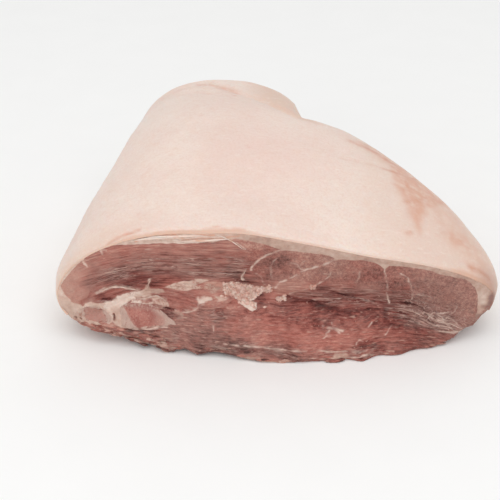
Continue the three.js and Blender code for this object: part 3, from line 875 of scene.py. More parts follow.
FAT_BEADS = [  # x, z and radius of the larger grains
    (-11.4, 43.8, 1.7), (-9.4, 44.2, 1.9), (-7.3, 43.8, 1.7), (-4.8, 45.8, 1.5), (-4.3, 43.6, 1.7),
    (-24, 36.4, 1.1), (-21.5, 36.3, 1.4), (-18.6, 36.3, 1.7), (-15.8, 35.5, 1.8), (-14.3, 34, 1.3),
    (1.6, 38.5, 1.2), (3.6, 38.6, 1.4), (5.6, 38.4, 1.1), (-7.6, 33.8, 1.1), (24.3, 47.7, 1.0),
    (-35.4, 39.6, 1.3), (-33, 38.9, 1.2),
]
STAINED_FAT = [  # strength, and outline of the fat and gristle that blood has reddened in streaks
    (0.6, [(-99, 32), (-92, 35.6), (-84, 38), (-76, 39), (-69, 36), (-69, 30), (-77, 29.6), (-88, 31)]),
    (0.9, [(-97, 37), (-93, 38.4), (-90, 40), (-93, 41.4), (-97, 40)]),
    (0.6, [(-34, 50), (-9, 45), (-10, 40), (-24, 38), (-34, 42)]),
    (0.4, [(-73, 43), (-53, 42), (-53, 48), (-68, 47)]),
    (0.7, [(-54, 53), (-34, 51), (-34, 41), (-48, 40), (-54, 44)]),
    (0.5, [(-134, 22), (-128, 27), (-126, 14), (-136, 13)]),
    (0.9, [(143, 40), (146.6, 39), (147.4, 31), (141, 21), (137, 14.6), (135.4, 17), (139.6, 24),
           (143, 31)]),
]
FAT_STAINED_ELSEWHERE = 0.12
ORANGE_LINES = [  # half width, strength, and line: skin fat stained by blood where it was torn
    (0.7, 0.9, [(-90, 81.5), (-85, 84.2), (-76, 86.6), (-64, 88)]),
    (0.6, 0.8, [(-72, 86.2), (-60, 87), (-50, 88.2), (-40, 88.6)]),
    (0.7, 0.6, [(-60, 84), (-48, 86), (-38, 86)]),
    (0.6, 0.6, [(-44, 84), (-34, 86.5), (-24, 88)]),
]
print(len(FAT_SHAPES), "places of smooth fat,", len(FAT_BEADS), "large grains")

# %% [markdown]
# ## The chart of tones
# The colour of the lean changes slowly across each muscle. A list of places with the tone seen there is
# enough: every point of the mesh takes a mean of them, in which near places weigh most.

# %% Chart: tones and threads
# The dark tones in the long fibres above the hip bone and on both sides of the middle seam are partly painted
# shade.
TONES = [  # x, z and tone of the lean: 0 is wet and dark, 1 is dry and pale, with painted shade in places
    (-138, 42, 0.86), (-131, 52, 0.84), (-128, 38, 0.8), (-133, 34, 0.82), (-126, 60, 0.78),
    (-118, 66, 0.74), (-113, 56, 0.52), (-120, 46, 0.5), (-104, 74, 0.74), (-80, 76, 0.7), (-60, 78, 0.68),
    (-95, 66, 0.52), (-70, 68, 0.5), (-45, 78, 0.67), (-40, 70, 0.5), (-45, 64, 0.48), (-20, 76, 0.62),
    (-25, 68, 0.4), (-105, 50, 0.28), (-96, 54, 0.28), (-84, 52, 0.24), (-74, 54, 0.3), (-80, 61, 0.5),
    (-70, 60, 0.5), (-94, 60, 0.46), (-96, 48, 0.26), (-77, 48, 0.26), (-72, 44.5, 0.66), (-64, 57, 0.44),
    (-50, 57, 0.48), (-38, 54, 0.36), (-26, 56, 0.24), (-26, 62, 0.38), (-24, 82, 0.8), (-8, 60, 0.5),
    (-12, 52, 0.42), (-6, 74, 0.56), (4, 69, 0.28), (-1, 64, 0.34), (2, 57, 0.5), (16, 73, 0.7),
    (28, 71, 0.76), (12, 62, 0.62), (20, 55.7, 0.82), (6, 45, 0.86), (16, 48, 0.8), (28, 55, 0.56),
    (40, 62, 0.7), (55, 64, 0.6), (62, 58, 0.4), (48, 52, 0.54), (60, 46, 0.54), (32, 44, 0.28),
    (42, 48, 0.6), (46, 41, 0.18), (56, 40, 0.3), (78, 58, 0.58), (80, 45, 0.32), (85, 37, 0.32),
    (96, 58, 0.62), (104, 52, 0.56), (98, 45, 0.5), (97, 35, 0.44), (112, 46, 0.5), (112, 34, 0.54),
    (124, 46, 0.6), (128, 36, 0.66), (128, 24, 0.6), (114, 26, 0.48), (-108, 38, 0.52), (-100, 39, 0.56),
    (-114, 35, 0.3), (-121, 33, 0.6), (-60, 38, 0.5), (-66, 33, 0.56), (-40, 47, 0.95), (-45, 42, 0.74),
    (-40, 38, 0.8), (-30, 35, 0.68), (-40, 30, 0.5), (-50, 27, 0.54), (-60, 22, 0.52), (-50, 14, 0.36),
    (-75, 11, 0.56), (-92, 11, 0.4), (-112, 12.6, 1.0), (-120, 13.6, 1.0), (-92, 6, 0.24), (-60, 6, 0.54),
    (-50, 7, 0.2), (-30, 5, 0.25), (-18, 2.5, 0.82), (-5, 1, 0.75), (-20, 9, 0.14), (-5, 8, 0.32),
    (-28, 24, 0.6), (-12, 24, 0.68), (10, 31, 0.34), (-5, 33, 0.42), (5, 20, 0.6), (22, 14, 0.66),
    (45, 13, 0.7), (60, 16, 0.58), (50, 25, 0.44), (62, 27, 0.32), (28, 27, 0.28), (78, 24, 0.2),
    (72, 14, 0.48), (85, 12, 0.44), (95, 10, 0.3), (108, 8, 0.34), (112, 5, 0.5), (100, 17, 0.28),
    (90, 20, 0.24), (27, 34, 0.22), (36, 31.5, 0.36), (35, 35, 0.34), (46, 34, 0.34), (10, 36.5, 0.34),
    (-12, 37.6, 0.3), (-71, 29.3, 0.22), (96, 26.5, 0.3), (-107.3, 22, 0.35), (-132, 17.5, 0.25),
    (5, 7, 0.26), (40, 4, 0.5), (58, 3, 0.36), (-30, 8, 0.2), (25, 33, 0.3), (22, 31.5, 0.45),
    (-10, 15, 0.72), (-36, 28.5, 0.2), (90, 33.4, 0.24), (62, 34, 0.32), (0, 41.5, 0.8), (74, 27, 0.18),
    (-73, 47, 0.6), (15, 69, 0.72), (112, 22, 0.3), (6, 33.5, 0.22), (58, 8, 0.24), (47, 29, 0.2),
    (-15, 81, 0.85), (-36, 67.5, 0.62),
]
BLOOD = [  # x, z and how red the lean is: 0 is grey rose, 1 is blood red
    (-136, 44, 0.2), (-129, 37, 0.3), (-125, 60, 0.35), (-105, 70, 0.6), (-70, 72, 0.5), (-40, 74, 0.5),
    (-40, 60, 0.45), (-20, 64, 0.6), (-112, 55, 0.4), (-85, 61, 0.3), (-60, 60, 0.3), (-88, 50, 0.9),
    (-75, 48, 0.8), (-110, 38, 0.8), (-60, 37, 0.7), (-45, 30, 0.4), (-55, 18, 0.3), (-80, 10, 0.25),
    (-110, 12, 0.4), (-30, 8, 0.4), (5, 6, 0.4), (-55, 8, 0.4), (-25, 22, 0.6), (0, 29, 0.9), (20, 30, 1.0),
    (35, 34, 1.1), (50, 36, 0.9), (15, 18, 0.95), (45, 14, 0.8), (75, 20, 0.9), (95, 12, 0.8),
    (110, 7, 0.6), (100, 22, 0.1), (115, 16, 0.0), (5, 62, 0.4), (10, 48, 0.3), (30, 62, 0.2),
    (25, 45, 0.5), (45, 45, 0.5), (62, 60, 0.55), (60, 46, 0.35), (85, 55, 0.4), (80, 42, 0.55),
    (100, 48, 0.2), (120, 40, 0.2), (120, 25, 0.1), (130, 30, 0.2), (105, 35, 0.15),
]
FAT_TONES = [  # x, z and tone of the fat: 0 is wet and grey, 1 is cream; below 0 is painted shade on the rind's cut side
    (-80, 84, 0.8), (-60, 86, 0.9), (-50, 84, 1.0), (-40, 87, 0.75), (-25, 86, 0.6), (-15, 84, 0.45),
    (0, 81, 0.55), (20, 77, 0.6), (40, 74, 0.6), (60, 70, 0.45), (70, 66, 0.62), (90, 62, 0.55),
    (110, 57, 0.5), (125, 50, 0.35), (137, 44, 0.55), (138, 36, 0.85), (138, 31, 0.85), (144, 34.5, -0.15),
    (144.5, 30, -0.2), (137, 24, 0.6), (142, 26, 0.1), (139, 19, 0.1), (-143, 38, 0.8), (-138, 28, 0.65),
    (-133, 24, 0.75), (-140, 20, 0.6), (-132, 17, 0.55), (-118, 29.5, 0.7), (-105, 27, 0.62),
    (-101, 18, 0.65), (-104, 32.6, 1.0), (-99, 36, 1.15), (-92, 39.8, 0.9), (-84, 43, 0.45),
    (-78, 41, 0.35), (-84, 35, 0.85), (-84, 40.4, 0.4), (-76, 34, 0.55), (-110, 30, 1.0), (-95, 35, 0.9),
    (-47, 38, 0.85), (-19, 35, 1.0), (-67, 24, 0.1), (-76, 18, 0.4), (-88, 16.6, 0.6), (-110, 43, 0.7),
    (-60, 47, 0.7), (-66, 45, 0.75), (-50, 50, 0.7), (-40, 45, 0.35), (-20, 44, 0.65), (-18, 2.5, 0.2),
    (0, 1.5, 0.4),
]
THREAD_ZONES = [  # strength, and the outline inside which silvery threads show on the lean
    (0.85, [(-122, 44), (-113, 60), (-100, 66), (-80, 70), (-55, 72), (-30, 72), (-16, 66), (-21, 56),
            (-30, 52), (-50, 53), (-70, 60), (-84, 58), (-104, 49)]),
    (0.6, [(12, 39), (40, 49), (70, 44), (95, 42), (104, 32), (95, 25), (70, 31), (45, 33), (30, 31)]),
    (1.0, [(66, 34), (88, 30), (98, 25.5), (110, 23), (124, 18), (130, 12), (122, 9.5), (108, 13), (96, 17),
           (84, 24), (74, 29)]),
    (0.6, [(-62, 13), (-20, 13.5), (20, 11), (60, 8), (80, 6), (75, 1), (30, 2), (-12, 4.5), (-62, 7)]),
    (0.45, [(-62, 34), (-45, 36), (-30, 30), (-34, 14), (-62, 12)]),
    (0.3, [(-48, 86), (-12, 84), (-14, 74), (-48, 74)]),
    (0.9, [(-125, 16), (-100, 15), (-80, 17), (-64, 16), (-64, 2), (-90, 0), (-122, 7)]),
]
THREADS_ELSEWHERE = 0.2
REACH_SIDEWAYS, NEAREST = 1.7, 2  # times, and mm below which nearness hardly grows
NET_ZONE = [
    (84, 34), (90, 46), (104, 42), (114, 30), (132, 26), (134, 14), (124, 10), (106, 15), (92, 22),
    (80, 27),
]


def patch(x, z, outline, soft):
    """1 inside an outline and 0 outside it, with a border of twice that softness in mm."""
    return step(-soft, soft, inside_depth(x, z, outline))


def lines_mask(x, z, chart, wider=1):
    """The strongest of the chart's lines at each point, each a bell across its own width times wider."""
    mask = np.zeros(x.shape)
    for width, strength, line in chart:
        gap, _ = line_distance(x, z, line)
        mask = np.maximum(mask, strength * hill(gap, 0, wider * width))
    return mask


def charted(x, z, chart):
    """The chart's value at a place: the mean of all its values, weighted by nearness to the fourth power.
    A value reaches further sideways than up and down, as the muscles do."""
    total, weight = np.zeros(x.shape), np.zeros(x.shape)
    for spot_x, spot_z, value in chart:
        near = (((x - spot_x) / REACH_SIDEWAYS) ** 2 + (z - spot_z) ** 2 + NEAREST**2) ** -2.0
        total, weight = total + near * value, weight + near
    return total / weight


print(len(TONES), "tones, from", min(tone for *_, tone in TONES), "to", max(tone for *_, tone in TONES))

# %% [markdown]
# ## The chart of depths
# The last chart holds the foot of the cut, the gaps between the muscles, and the outlines of the bones and
# of the red cores in them.

# %% Chart: foot, gaps and bones
BOTTOM_EDGE = [
    (-147, 30), (-143.5, 23), (-141, 19.5), (-137, 15), (-131, 12.5), (-126, 11), (-123, 8), (-118, 8.7),
    (-110, 7.5), (-100, 5), (-90, 2.5), (-84, 3.6), (-79, 2.6), (-75, 1), (-71, 0.4), (-66, 3), (-60, 3.6),
    (-52, 1), (-45, 2.6), (-40, 3.3), (-25, 1.8), (-10, 0), (100, 0), (108, 0.3), (115, 1.6), (120, 4),
    (124, 8.5), (128, 10.5), (133, 11), (136, 15), (140, 19.5), (144, 24), (147.5, 29),
]
RAGGED_SLOPE = 0.22  # how steeply the torn scraps at the foot of the cut fall towards the belly side
LUMPS = [  # x, width and push forward, in mm
    (38, 4, 3), (57, 7, 6), (80, 9, 4.5), (-52, 6, 2), (-72, 5, 2.5), (104, 6, 1.5),
]
CLEFTS = [  # depth, half width, and line of the gaps between muscles
    (1.9, 2.0, [(24, 35.4), (28, 34.3), (33, 33), (40, 32)]),
    (1.0, 0.8, [(38, 31.4), (45, 30.4), (52, 30.6), (60, 30.2), (68, 29.8)]),
    (0.9, 0.7, [(7, 39.3), (13, 38), (18, 36.8), (24, 36)]),
    (0.7, 0.6, [(38, 36.4), (48, 36.6), (55, 35.9), (63, 34.4), (74, 34), (82, 33.2), (89, 32)]),
    (1.2, 0.6, [(86, 32.6), (93, 30.2), (96, 28), (101.4, 23.4)]),
    (1.1, 0.7, [(27, 44), (34, 43.4), (40, 41.6), (46, 39.4), (51, 38.4)]),
    (0.6, 0.7, [(60, 30.8), (72, 29.6), (82, 27.6), (92, 23.5), (100, 19.5)]),
    (0.8, 0.6, [(-12.6, 37.2), (-10, 36.8), (-8, 37.6)]),
    (0.9, 0.8, [(-40, 30), (-34, 33.4), (-28, 37), (-23, 38.4)]),
    (1.0, 0.8, [(-119, 34), (-112, 33.8), (-106, 34.4)]),
    (0.8, 0.8, [(-130, 29.4), (-127, 31.6), (-124, 35), (-122, 40)]),
    (1.3, 0.7, [(-74.4, 31.6), (-70.6, 30.8), (-67, 30)]),
    (2.4, 0.6, [(-107.6, 23), (-107, 21.3), (-107.2, 19.4)]),
    (1.3, 0.6, [(-123.4, 14.4), (-118.7, 14), (-112.7, 13.8), (-103.5, 14.6), (-96.8, 14), (-90, 13.7),
                (-83.3, 15), (-76.5, 16)]),
    (1.3, 0.8, [(-110.5, 12.4), (-106.4, 11.7), (-102.4, 11)]),
    (1.2, 1.0, [(-83, 46.4), (-80, 44.2), (-75, 44)]),
    (1.2, 0.6, [(-25, 50.8), (-20, 49.4), (-15, 47.6)]),
    (1.2, 0.8, [(-80, 57.5), (-74, 57.8), (-70, 57.2)]),
    (1.8, 0.9, [(-104, 10), (-103, 6)]),
    (2.0, 1.3, [(-96, 7), (-91, 8), (-86, 6)]),
    (1.2, 0.5, [(-134.6, 18.6), (-133.4, 17.2)]),
    (1.2, 0.5, [(-130.8, 17.6), (-129.6, 16.8)]),
]
BONE_OUTLINES = {
    "hip": [(-105, 26), (-103.4, 30), (-98.6, 32.4), (-91, 33.4), (-84, 33.6), (-79, 32.6), (-76, 30.2),
            (-72, 27), (-67.5, 24), (-66, 22), (-70, 20.8), (-76, 19.2), (-84, 17.4), (-92, 16.2),
            (-99, 15.8), (-102.5, 17), (-103, 20.5), (-103.6, 24.5)],
    "tail": [(-130.4, 22.6), (-129.4, 26.4), (-126, 28.6), (-120.6, 28.4), (-115.4, 26.4), (-110.8, 24),
             (-108.4, 21.2), (-109.4, 18.4), (-113, 16.2), (-121, 15.6), (-126.6, 16.6), (-129.4, 19)],
}
CORE_OUTLINES = {
    "hip": [(-101, 29.4), (-94, 31.4), (-84.5, 31.6), (-77, 29.8), (-74, 26.8), (-70.4, 22.6), (-76, 19),
            (-84.6, 17.4), (-91.4, 16.8), (-94.8, 18.6), (-98.2, 24)],
    "tail": [(-127.8, 23.6), (-125.6, 26.4), (-120.6, 26.2), (-116.2, 23.6), (-112.2, 20.2), (-112.4, 17.6),
             (-117.4, 16), (-124.4, 16.4), (-128, 19)],
    "shank": [(-60, 58), (-58, 66), (-52, 70), (-44, 70), (-37.5, 66), (-36, 59), (-40, 52.5), (-47, 50.5),
              (-56, 52.5)],
}
BONE_RECESS, BONE_PROUD = 2.0, 0.7  # mm that the meat under a sawn bone is sunk, and that the bone stands out
GRAIN_LOW_X, GRAIN_LOW_Z = [-30, 20, 60, 80, 100, 130, 150], [52, 51, 47, 41, 32, 18, 10]
print(len(CLEFTS), "gaps, up to", max(deep for deep, *_ in CLEFTS), "mm deep")

# %% [markdown]
# ## The relief of the chump cut
# The saw left the cut nearly flat, but the muscles have relaxed since. The upper ones lean back towards the
# seam in the middle, and the thigh below it pushes forward like a pillow. Fibre bundles stand out with gaps
# between them, fat stands proud of lean, soft fat has torn into grains, and the bottom edge hangs in ragged
# lumps. All of it is one depth behind the cut plane, added up from these parts.

# %% Relief of the cut
def bottom_edge(x):
    """Height of the foot of the cut."""
    return np.interp(x, *np.array(BOTTOM_EDGE).T)


def above_seam(x, z):
    """1 in the upper muscles, 0 in the thigh below the seam between them."""
    seam = curve(SEAM_X, SEAM_Z, x)
    return step(seam - 9, seam + 3, z)


def fibre_flow(x, z):
    """Coordinates that follow the fibres: how far along them, and which fibre. They fall towards the belly
    side, and above the seam they bend down at the backbone side too."""
    fall = 0.0045 * np.maximum(x - 62, 0) ** 2
    upper = z + 0.005 * np.maximum(-70 - x, 0) ** 2 + 0.03 * (x + 60) + fall
    lower = z + fall + 2.5 * rough_noise(x / 22, z / 12, 2, 81)
    above = above_seam(x, z)
    return x + 0 * z, upper * above + lower * (1 - above)


def cross_cut(x, z):
    """1 where the saw met the fibres end on, 0 where it ran along them."""
    low = curve(GRAIN_LOW_X, GRAIN_LOW_Z, x)
    belly_side = step(-20, -12, x + 0.35 * (z - 60)) * step(low - 5, low + 4, z)
    return np.maximum(belly_side, step(-122, -132, x))


def bundles(u, v, thick, long, seed):
    """Gaps between bundles of fibres: 0 in a bundle's middle, rising steeply to uneven depths beside it."""
    phase = v / thick + 0.8 * rough_noise(u / long, v / (3 * thick), 2, seed)
    number = np.floor(phase)
    gap = np.abs(2 * (phase - number) - 1) ** 3
    return gap * np.clip(0.5 + 0.8 * soft_noise(u / long, number * 3.7, seed + 5), 0, 1)


def pebbles(u, v, seed=0):
    """Rounded pebbles, one at a random spot of each unit square: 1 at a pebble's middle, 0 between them."""
    i, j = np.floor(u).astype(int), np.floor(v).astype(int)
    nearest = np.full(np.shape(u), 9.0)
    for di in (-1, 0, 1):
        for dj in (-1, 0, 1):
            spot_u = i + di + 0.5 + 0.4 * LATTICE[(i + di + seed) % 256, (j + dj) % 256]
            spot_v = j + dj + 0.5 + 0.4 * LATTICE[(j + dj + seed) % 256, (i + di + 91) % 256]
            nearest = np.minimum(nearest, (u - spot_u) ** 2 + (v - spot_v) ** 2)
    return np.sqrt(np.clip(1 - nearest / 0.5, 0, 1))


def wobbled(x, z, mm=0.8, size=5):
    """The same places, each moved a little, so that a shape with straight sides gets an uneven border."""
    return x + mm * rough_noise(x / size, z / size, 3, 51), z + mm * rough_noise(x / size, z / size, 3, 54)


def fibre_gaps(x, z):
    """Gaps between the bundles that show where the saw ran along the fibres."""
    u, v = fibre_flow(x, z)
    return (bundles(u, v, 3.4, 38, 61) + 0.6 * bundles(u, v, 1.7, 22, 71)) * (1 - cross_cut(x, z))


def cleft_depth(x, z):
    """Depth in mm of the gaps between muscles."""
    return groove_depth(*wobbled(x, z), CLEFTS)


def cut_relief(x, z, top):
    """Depth in mm of a point of the cut behind the cut plane. Less is nearer to the eye."""
    near_x, near_z = wobbled(x, z)
    depth = seam_depth(x, z, top) + 0.9 * rough_noise(x / 26, z / 14, 3, 21)
    depth += 0.6 * fibre_gaps(x, z) + cross_cut(x, z) * 0.3 * rough_noise(x / 3.2, z / 3.2, 3, 27)
    depth += cleft_depth(x, z)
    # Fat, its grains and the veins stand proud of the lean, and the meat under a bone's sawn end is sunk.
    for strength, _, outline in FAT_SHAPES:
        depth -= 0.9 * strength * patch(near_x, near_z, outline, 1.4)
    for outline in GRANULAR_FAT:
        depth -= patch(near_x, near_z, outline, 1.0) * (1.2 + 0.5 * pebbles(near_x / 1.7, near_z / 1.6, 7))
    for outline in BONE_OUTLINES.values():
        depth += BONE_RECESS * step(0.9, 1.8, inside_depth(x, z, outline))
    depth -= 0.3 * lines_mask(near_x, near_z, VEINS, 1.6)
    # The foot of the cut hangs in torn scraps and in lumps, and its edge is rounded.
    ragged = step(17, 11, z) * step(-66, -80, x)
    torn_x, torn_z = wobbled(x, z, 2.4, 7)
    depth += ragged * (2.6 * rough_noise(torn_x / 13, (torn_z + RAGGED_SLOPE * x) / 2.8, 4, 33) + 0.4)
    low = np.clip(1 - (z - bottom_edge(x)) / 7, 0, 1)
    for lump_x, width, push in LUMPS:
        depth -= push * hill(x, lump_x, width) * low
    return depth + 3.2 * (1 - np.sqrt(1 - low**3))


print("the cut's foot lies", bottom_edge(-150), "mm high at one end and", bottom_edge(150), "at the other")

# %% [markdown]
# ## The chump cut as a surface
# The visible face is a grid of upright columns, finer towards both ends where the outline turns. From its
# border a skirt runs back into the joint, and upright strips close it behind, so that the piece is a solid.
# Its border lies a little inside the outline, where the rind's edge covers it.

# %% Chump cut shape
CUT_COLUMNS, CUT_ROWS = 500, 175
TUCK = 1.5  # mm that the cut's border lies inside the outline, under the rind's edge
SKIRT_BACK, SKIRT_LIFT = [4, 12, 26], 2.5  # mm behind the face, and mm that the last row rises


def upright(angle):
    """Degrees from -90 at the bottom, 0 at the belly side and 180 at the backbone side, up to 270."""
    return (np.degrees(angle) + 90) % 360 - 90


rim_angle = np.linspace(0, 2 * np.pi, 2881)[:-1]
rim_x, rim_z = section(np.zeros_like(rim_angle), rim_angle)
run_x, run_z = np.gradient(rim_x), np.gradient(rim_z)
run = np.maximum(np.hypot(run_x, run_z), 1e-9)
degrees = upright(rim_angle)
covered = step(OPEN_RIGHT - 3, OPEN_RIGHT + 1, degrees) * step(OPEN_LEFT + 3, OPEN_LEFT - 1, degrees)
tucked_x, tucked_z = rim_x - run_z / run * TUCK * covered, rim_z + run_x / run * TUCK * covered
upper = rim_angle <= np.pi


def rim_height(x, half):
    """Height of the upper or the lower half of the tucked outline at x."""
    order = np.argsort(tucked_x[half])
    return np.interp(x, tucked_x[half][order], tucked_z[half][order])


def cut_y(x, z):
    """y of the cut's surface at a place."""
    return cut_plane(x, z) + cut_relief(x, z, rim_height(x, upper))


even = np.linspace(-1, 1, CUT_COLUMNS)
spaced = 0.45 * even + 0.55 * np.sin(np.pi / 2 * even)  # closer together towards both ends
end_low, end_high = tucked_x.min() + 0.05, tucked_x.max() - 0.05
column_x = (end_low + end_high) / 2 + (end_high - end_low) / 2 * spaced
column_top = rim_height(column_x, upper)
nibbled = 0.5 * rough_noise(column_x / 4, column_x * 0, 3, 41) * step(140, 120, abs(column_x))
column_low = np.maximum(rim_height(column_x, ~upper), bottom_edge(column_x) + nibbled)
column_low = np.clip(column_low, 0, column_top - 0.6)
down = np.linspace(0, 1, CUT_ROWS)[:, None]
# The uppermost row turns back a little, under the rind's edge.
x = np.broadcast_to(column_x, (CUT_ROWS, CUT_COLUMNS))
z = column_top + (column_low - column_top) * down
y = cut_y(x, z) + 0.5 * step(0.7, 0, column_top - z)
face = np.stack([x, y, z], -1)
print("face", face.shape, "depth from", round(y.min(), 1), "to", round(y.max(), 1))

# %% [markdown]
# The values for the material come from the same chart. Gaps between bundles and the clefts between
# muscles are painted darker, as shade, because light hardly reaches into them.

# %% Chump cut values and solid
WHOLE_FAT = 0.84  # weaker shapes of fat than this are broken up


def cut_values(x, z):
    """The values that the cut meat's material asks for, at places of the cut."""
    near_x, near_z = wobbled(x, z)
    fine_x, fine_z = wobbled(x, z, 0.6, 3)
    lean_top = np.interp(x, *np.array(LEAN_TOP).T) + 0.5 * rough_noise(x / 4, z / 4, 2, 53)
    fat = step(-0.6, 0.6, z - lean_top)
    torn = 1 + 1.2 * rough_noise(x / 7, z / 2, 3, 49)
    for strength, soft, outline in FAT_SHAPES:
        shape = strength * patch(near_x, near_z, outline, soft)
        fat = np.maximum(fat, shape * torn if strength < WHOLE_FAT else shape)
    for outline in GRANULAR_FAT:
        fat = np.maximum(fat, 0.9 * patch(near_x, near_z, outline, 0.8))
    for outline in BONE_OUTLINES.values():
        beside_bone = 0.9 * step(-1.5, -0.7, inside_depth(near_x, near_z, outline))
        fat = np.maximum(fat, beside_bone * step(-96, -101, x))
    seam = 1.1 * lines_mask(fine_x, fine_z, VEINS, 0.85) * (0.85 + 1.2 * rough_noise(x / 3.4, z / 3.4, 2, 57))
    thread = np.full(x.shape, THREADS_ELSEWHERE)
    for strength, outline in THREAD_ZONES:
        thread = np.maximum(thread, strength * patch(near_x, near_z, outline, 3))
    u, v = fibre_flow(x, z)
    # How far into a cleft a point lies. There the lean's tone is lowered and the fat darkened as painted
    # shade, the lean is made redder and the threads fainter.
    deep = np.clip(cleft_depth(x, z) / 2, 0, 1)
    gap = 0.25 * deep + (0.1 + 0.1 * above_seam(x, z)) * fibre_gaps(x, z)
    ragged = step(17, 12, z) * step(-66, -78, x)
    scraps = ragged * 0.8 * rough_noise(x / 7, (z + RAGGED_SLOPE * x) / 2.2, 4, 45)
    return {
        "tone": charted(near_x, near_z, TONES) - gap + scraps,
        "deep": 0.85 * deep,
        "net": 0.55 * patch(near_x, near_z, NET_ZONE, 4),
        "short": 1 - above_seam(x, z),
        "blood": charted(x, z, BLOOD) + 0.6 * deep,
        "fat": fat,
        "fat_tone": charted(x, z, FAT_TONES),
        "seam": np.clip(seam, 0, 1),
        "thread": thread * (1 - 0.85 * deep),
        "across": cross_cut(x, z),
        "calm": 0.75 * step(-116, -126, x) * step(26, 32, z),
        "orange": lines_mask(near_x, near_z, ORANGE_LINES),
        "stained": FAT_STAINED_ELSEWHERE + sum(s * patch(near_x, near_z, o, 1.5) for s, o in STAINED_FAT),
        "flow": np.stack([u, v, np.zeros_like(u)], -1) / 1000,
    }


def carried_back(values):
    """Face values carried onto the skirt from the border row beside it."""
    before, after = values[:1].repeat(len(SKIRT_BACK), 0), values[-1:].repeat(len(SKIRT_BACK), 0)
    whole = np.concatenate([before, values, after])
    return whole.reshape(-1, 3) if whole.ndim == 3 else whole.ravel()


def slab(face):
    """The face, its skirt above and below, and the strips that close it behind: points and faces."""
    lift = [SKIRT_LIFT * back / SKIRT_BACK[-1] for back in SKIRT_BACK]
    above = [face[0] + (0, back, -0.3 * rise) for back, rise in zip(SKIRT_BACK, lift)][::-1]
    below = [face[-1] + (0, back, rise) for back, rise in zip(SKIRT_BACK, lift)]
    points = np.stack([*above, *face, *below])
    rows, columns = points.shape[:2]
    index = np.arange(rows * columns).reshape(rows, columns)
    half = (rows + 1) // 2
    ends = [np.stack([index[:half, k], index[::-1][:half, k]], -1) for k in (0, -1)]
    faces = [grid_faces(index, close_rows=True), grid_faces(ends[0]), grid_faces(ends[1])[:, ::-1]]
    return points.reshape(-1, 3), np.concatenate(faces)


points, faces = slab(face)
values = {key: carried_back(value) for key, value in cut_values(x, z).items()}
chump = make_piece("chump_cut", points, faces, CUT, values)

# %% [markdown]
# ## The finish of the bones
# A sawn bone end shows a hard, pale ring round a spongy core. The core of a young pig's bone is full of
# blood, so it is rose red with paler specks of bone in it. Sawdust and fat leave it matt.

# %% Bone material
BONE_VALUES = ("core", "gristle", "pale", "specks")


def bone_finish():
    """A sawn, blood-filled bone: grey-pink hard ring, rose spongy core, pale and dark specks, nearly matt."""
    material, tree, shader = start_material("sawn_fresh_bone")
    where = node(tree, "place")
    value = mesh_values(tree, BONE_VALUES)
    sponge = spread(tree, where, 3, 1.3, rough=0.7)
    cloud = spread(tree, where, 3, 7)
    streaks = spread(tree, where, 4, 2.4, stretch=(1, 1, 2.2), rough=0.8)
    ring = layered(
        tree, "#b08a7d",
        (value["pale"], "#cbb0a1"),
        (node(tree, "remap", cloud, 0.4, 0.65, 0, 0.45), "#a67f73"),
        (node(tree, "remap", sponge, 0.5, 0.7, 0, 0.35), "#dcc4b6"),
    )
    red = layered(
        tree, "#9a584d",
        (node(tree, "remap", cloud, 0.35, 0.65), "#b07164"),
        (node(tree, "remap", sponge, 0.5, 0.7, 0, 0.55), "#c59a8b"),
        (node(tree, "remap", sponge, 0.46, 0.3, 0, 0.7), "#853f38"),
    )
    gristle = layered(tree, "#ab8b80", (node(tree, "remap", streaks, 0.35, 0.6), "#c2a295"))
    core_edge = node(tree, "remap", sum_of(tree, (value["core"], 1.0), (sponge, 0.6)), 0.45, 1.1)
    specks = node(tree, "remap", sum_of(tree, (streaks, 1.0), (value["specks"], 0.3)), 0.62, 0.78, 0, 0.85)
    fill(tree, shader, {
        "Base Color": layered(tree, ring, (core_edge, red), (value["gristle"], gristle), (specks, "#96594e")),
        "Roughness": 0.55, "Normal": node(tree, "bump", sponge, 0.7, 0.0005),
        "Subsurface Weight": 0.1, "Subsurface Radius": (1.0, 0.5, 0.35), "Subsurface Scale": 0.0015})
    return material


BONE = bone_finish()
print(BONE.name, len(BONE.node_tree.nodes), "nodes")

# %% [markdown]
# ## The sawn bones
# Two bones show in the chump cut: the hip bone and, at its left, the smaller end of the backbone. Each is
# built as rings that run from the middle of the sawn face out to the edge, over it and back into the meat.
# The hard ring stands a little proud of the core, because the saw tears the softer core deeper.

# %% Hip bone and tail bone
def closed_loop(points, count):
    """Evenly spaced points on a smooth closed curve through the given ones: the middle one of three turns."""
    thrice = np.array(list(points) * 3, float)
    along = np.concatenate([[0], np.cumsum(np.linalg.norm(np.diff(thrice, axis=0), axis=1))])
    at = np.linspace(along[len(points)], along[2 * len(points)], count, endpoint=False)
    return np.stack([curve(along, thrice[:, k], at) for k in range(thrice.shape[1])], -1)


def capped(rows, first, last):
    """Points and faces of rows of loops, closed by a pole at each end."""
    count, around = rows.shape[:2]
    middle = 1 + np.arange(count * around).reshape(count, around)
    index = np.vstack([np.zeros((1, around), int), middle, np.full((1, around), count * around + 1)])
    return np.vstack([[first], rows.reshape(-1, 3), [last]]), grid_faces(index, close_columns=True)


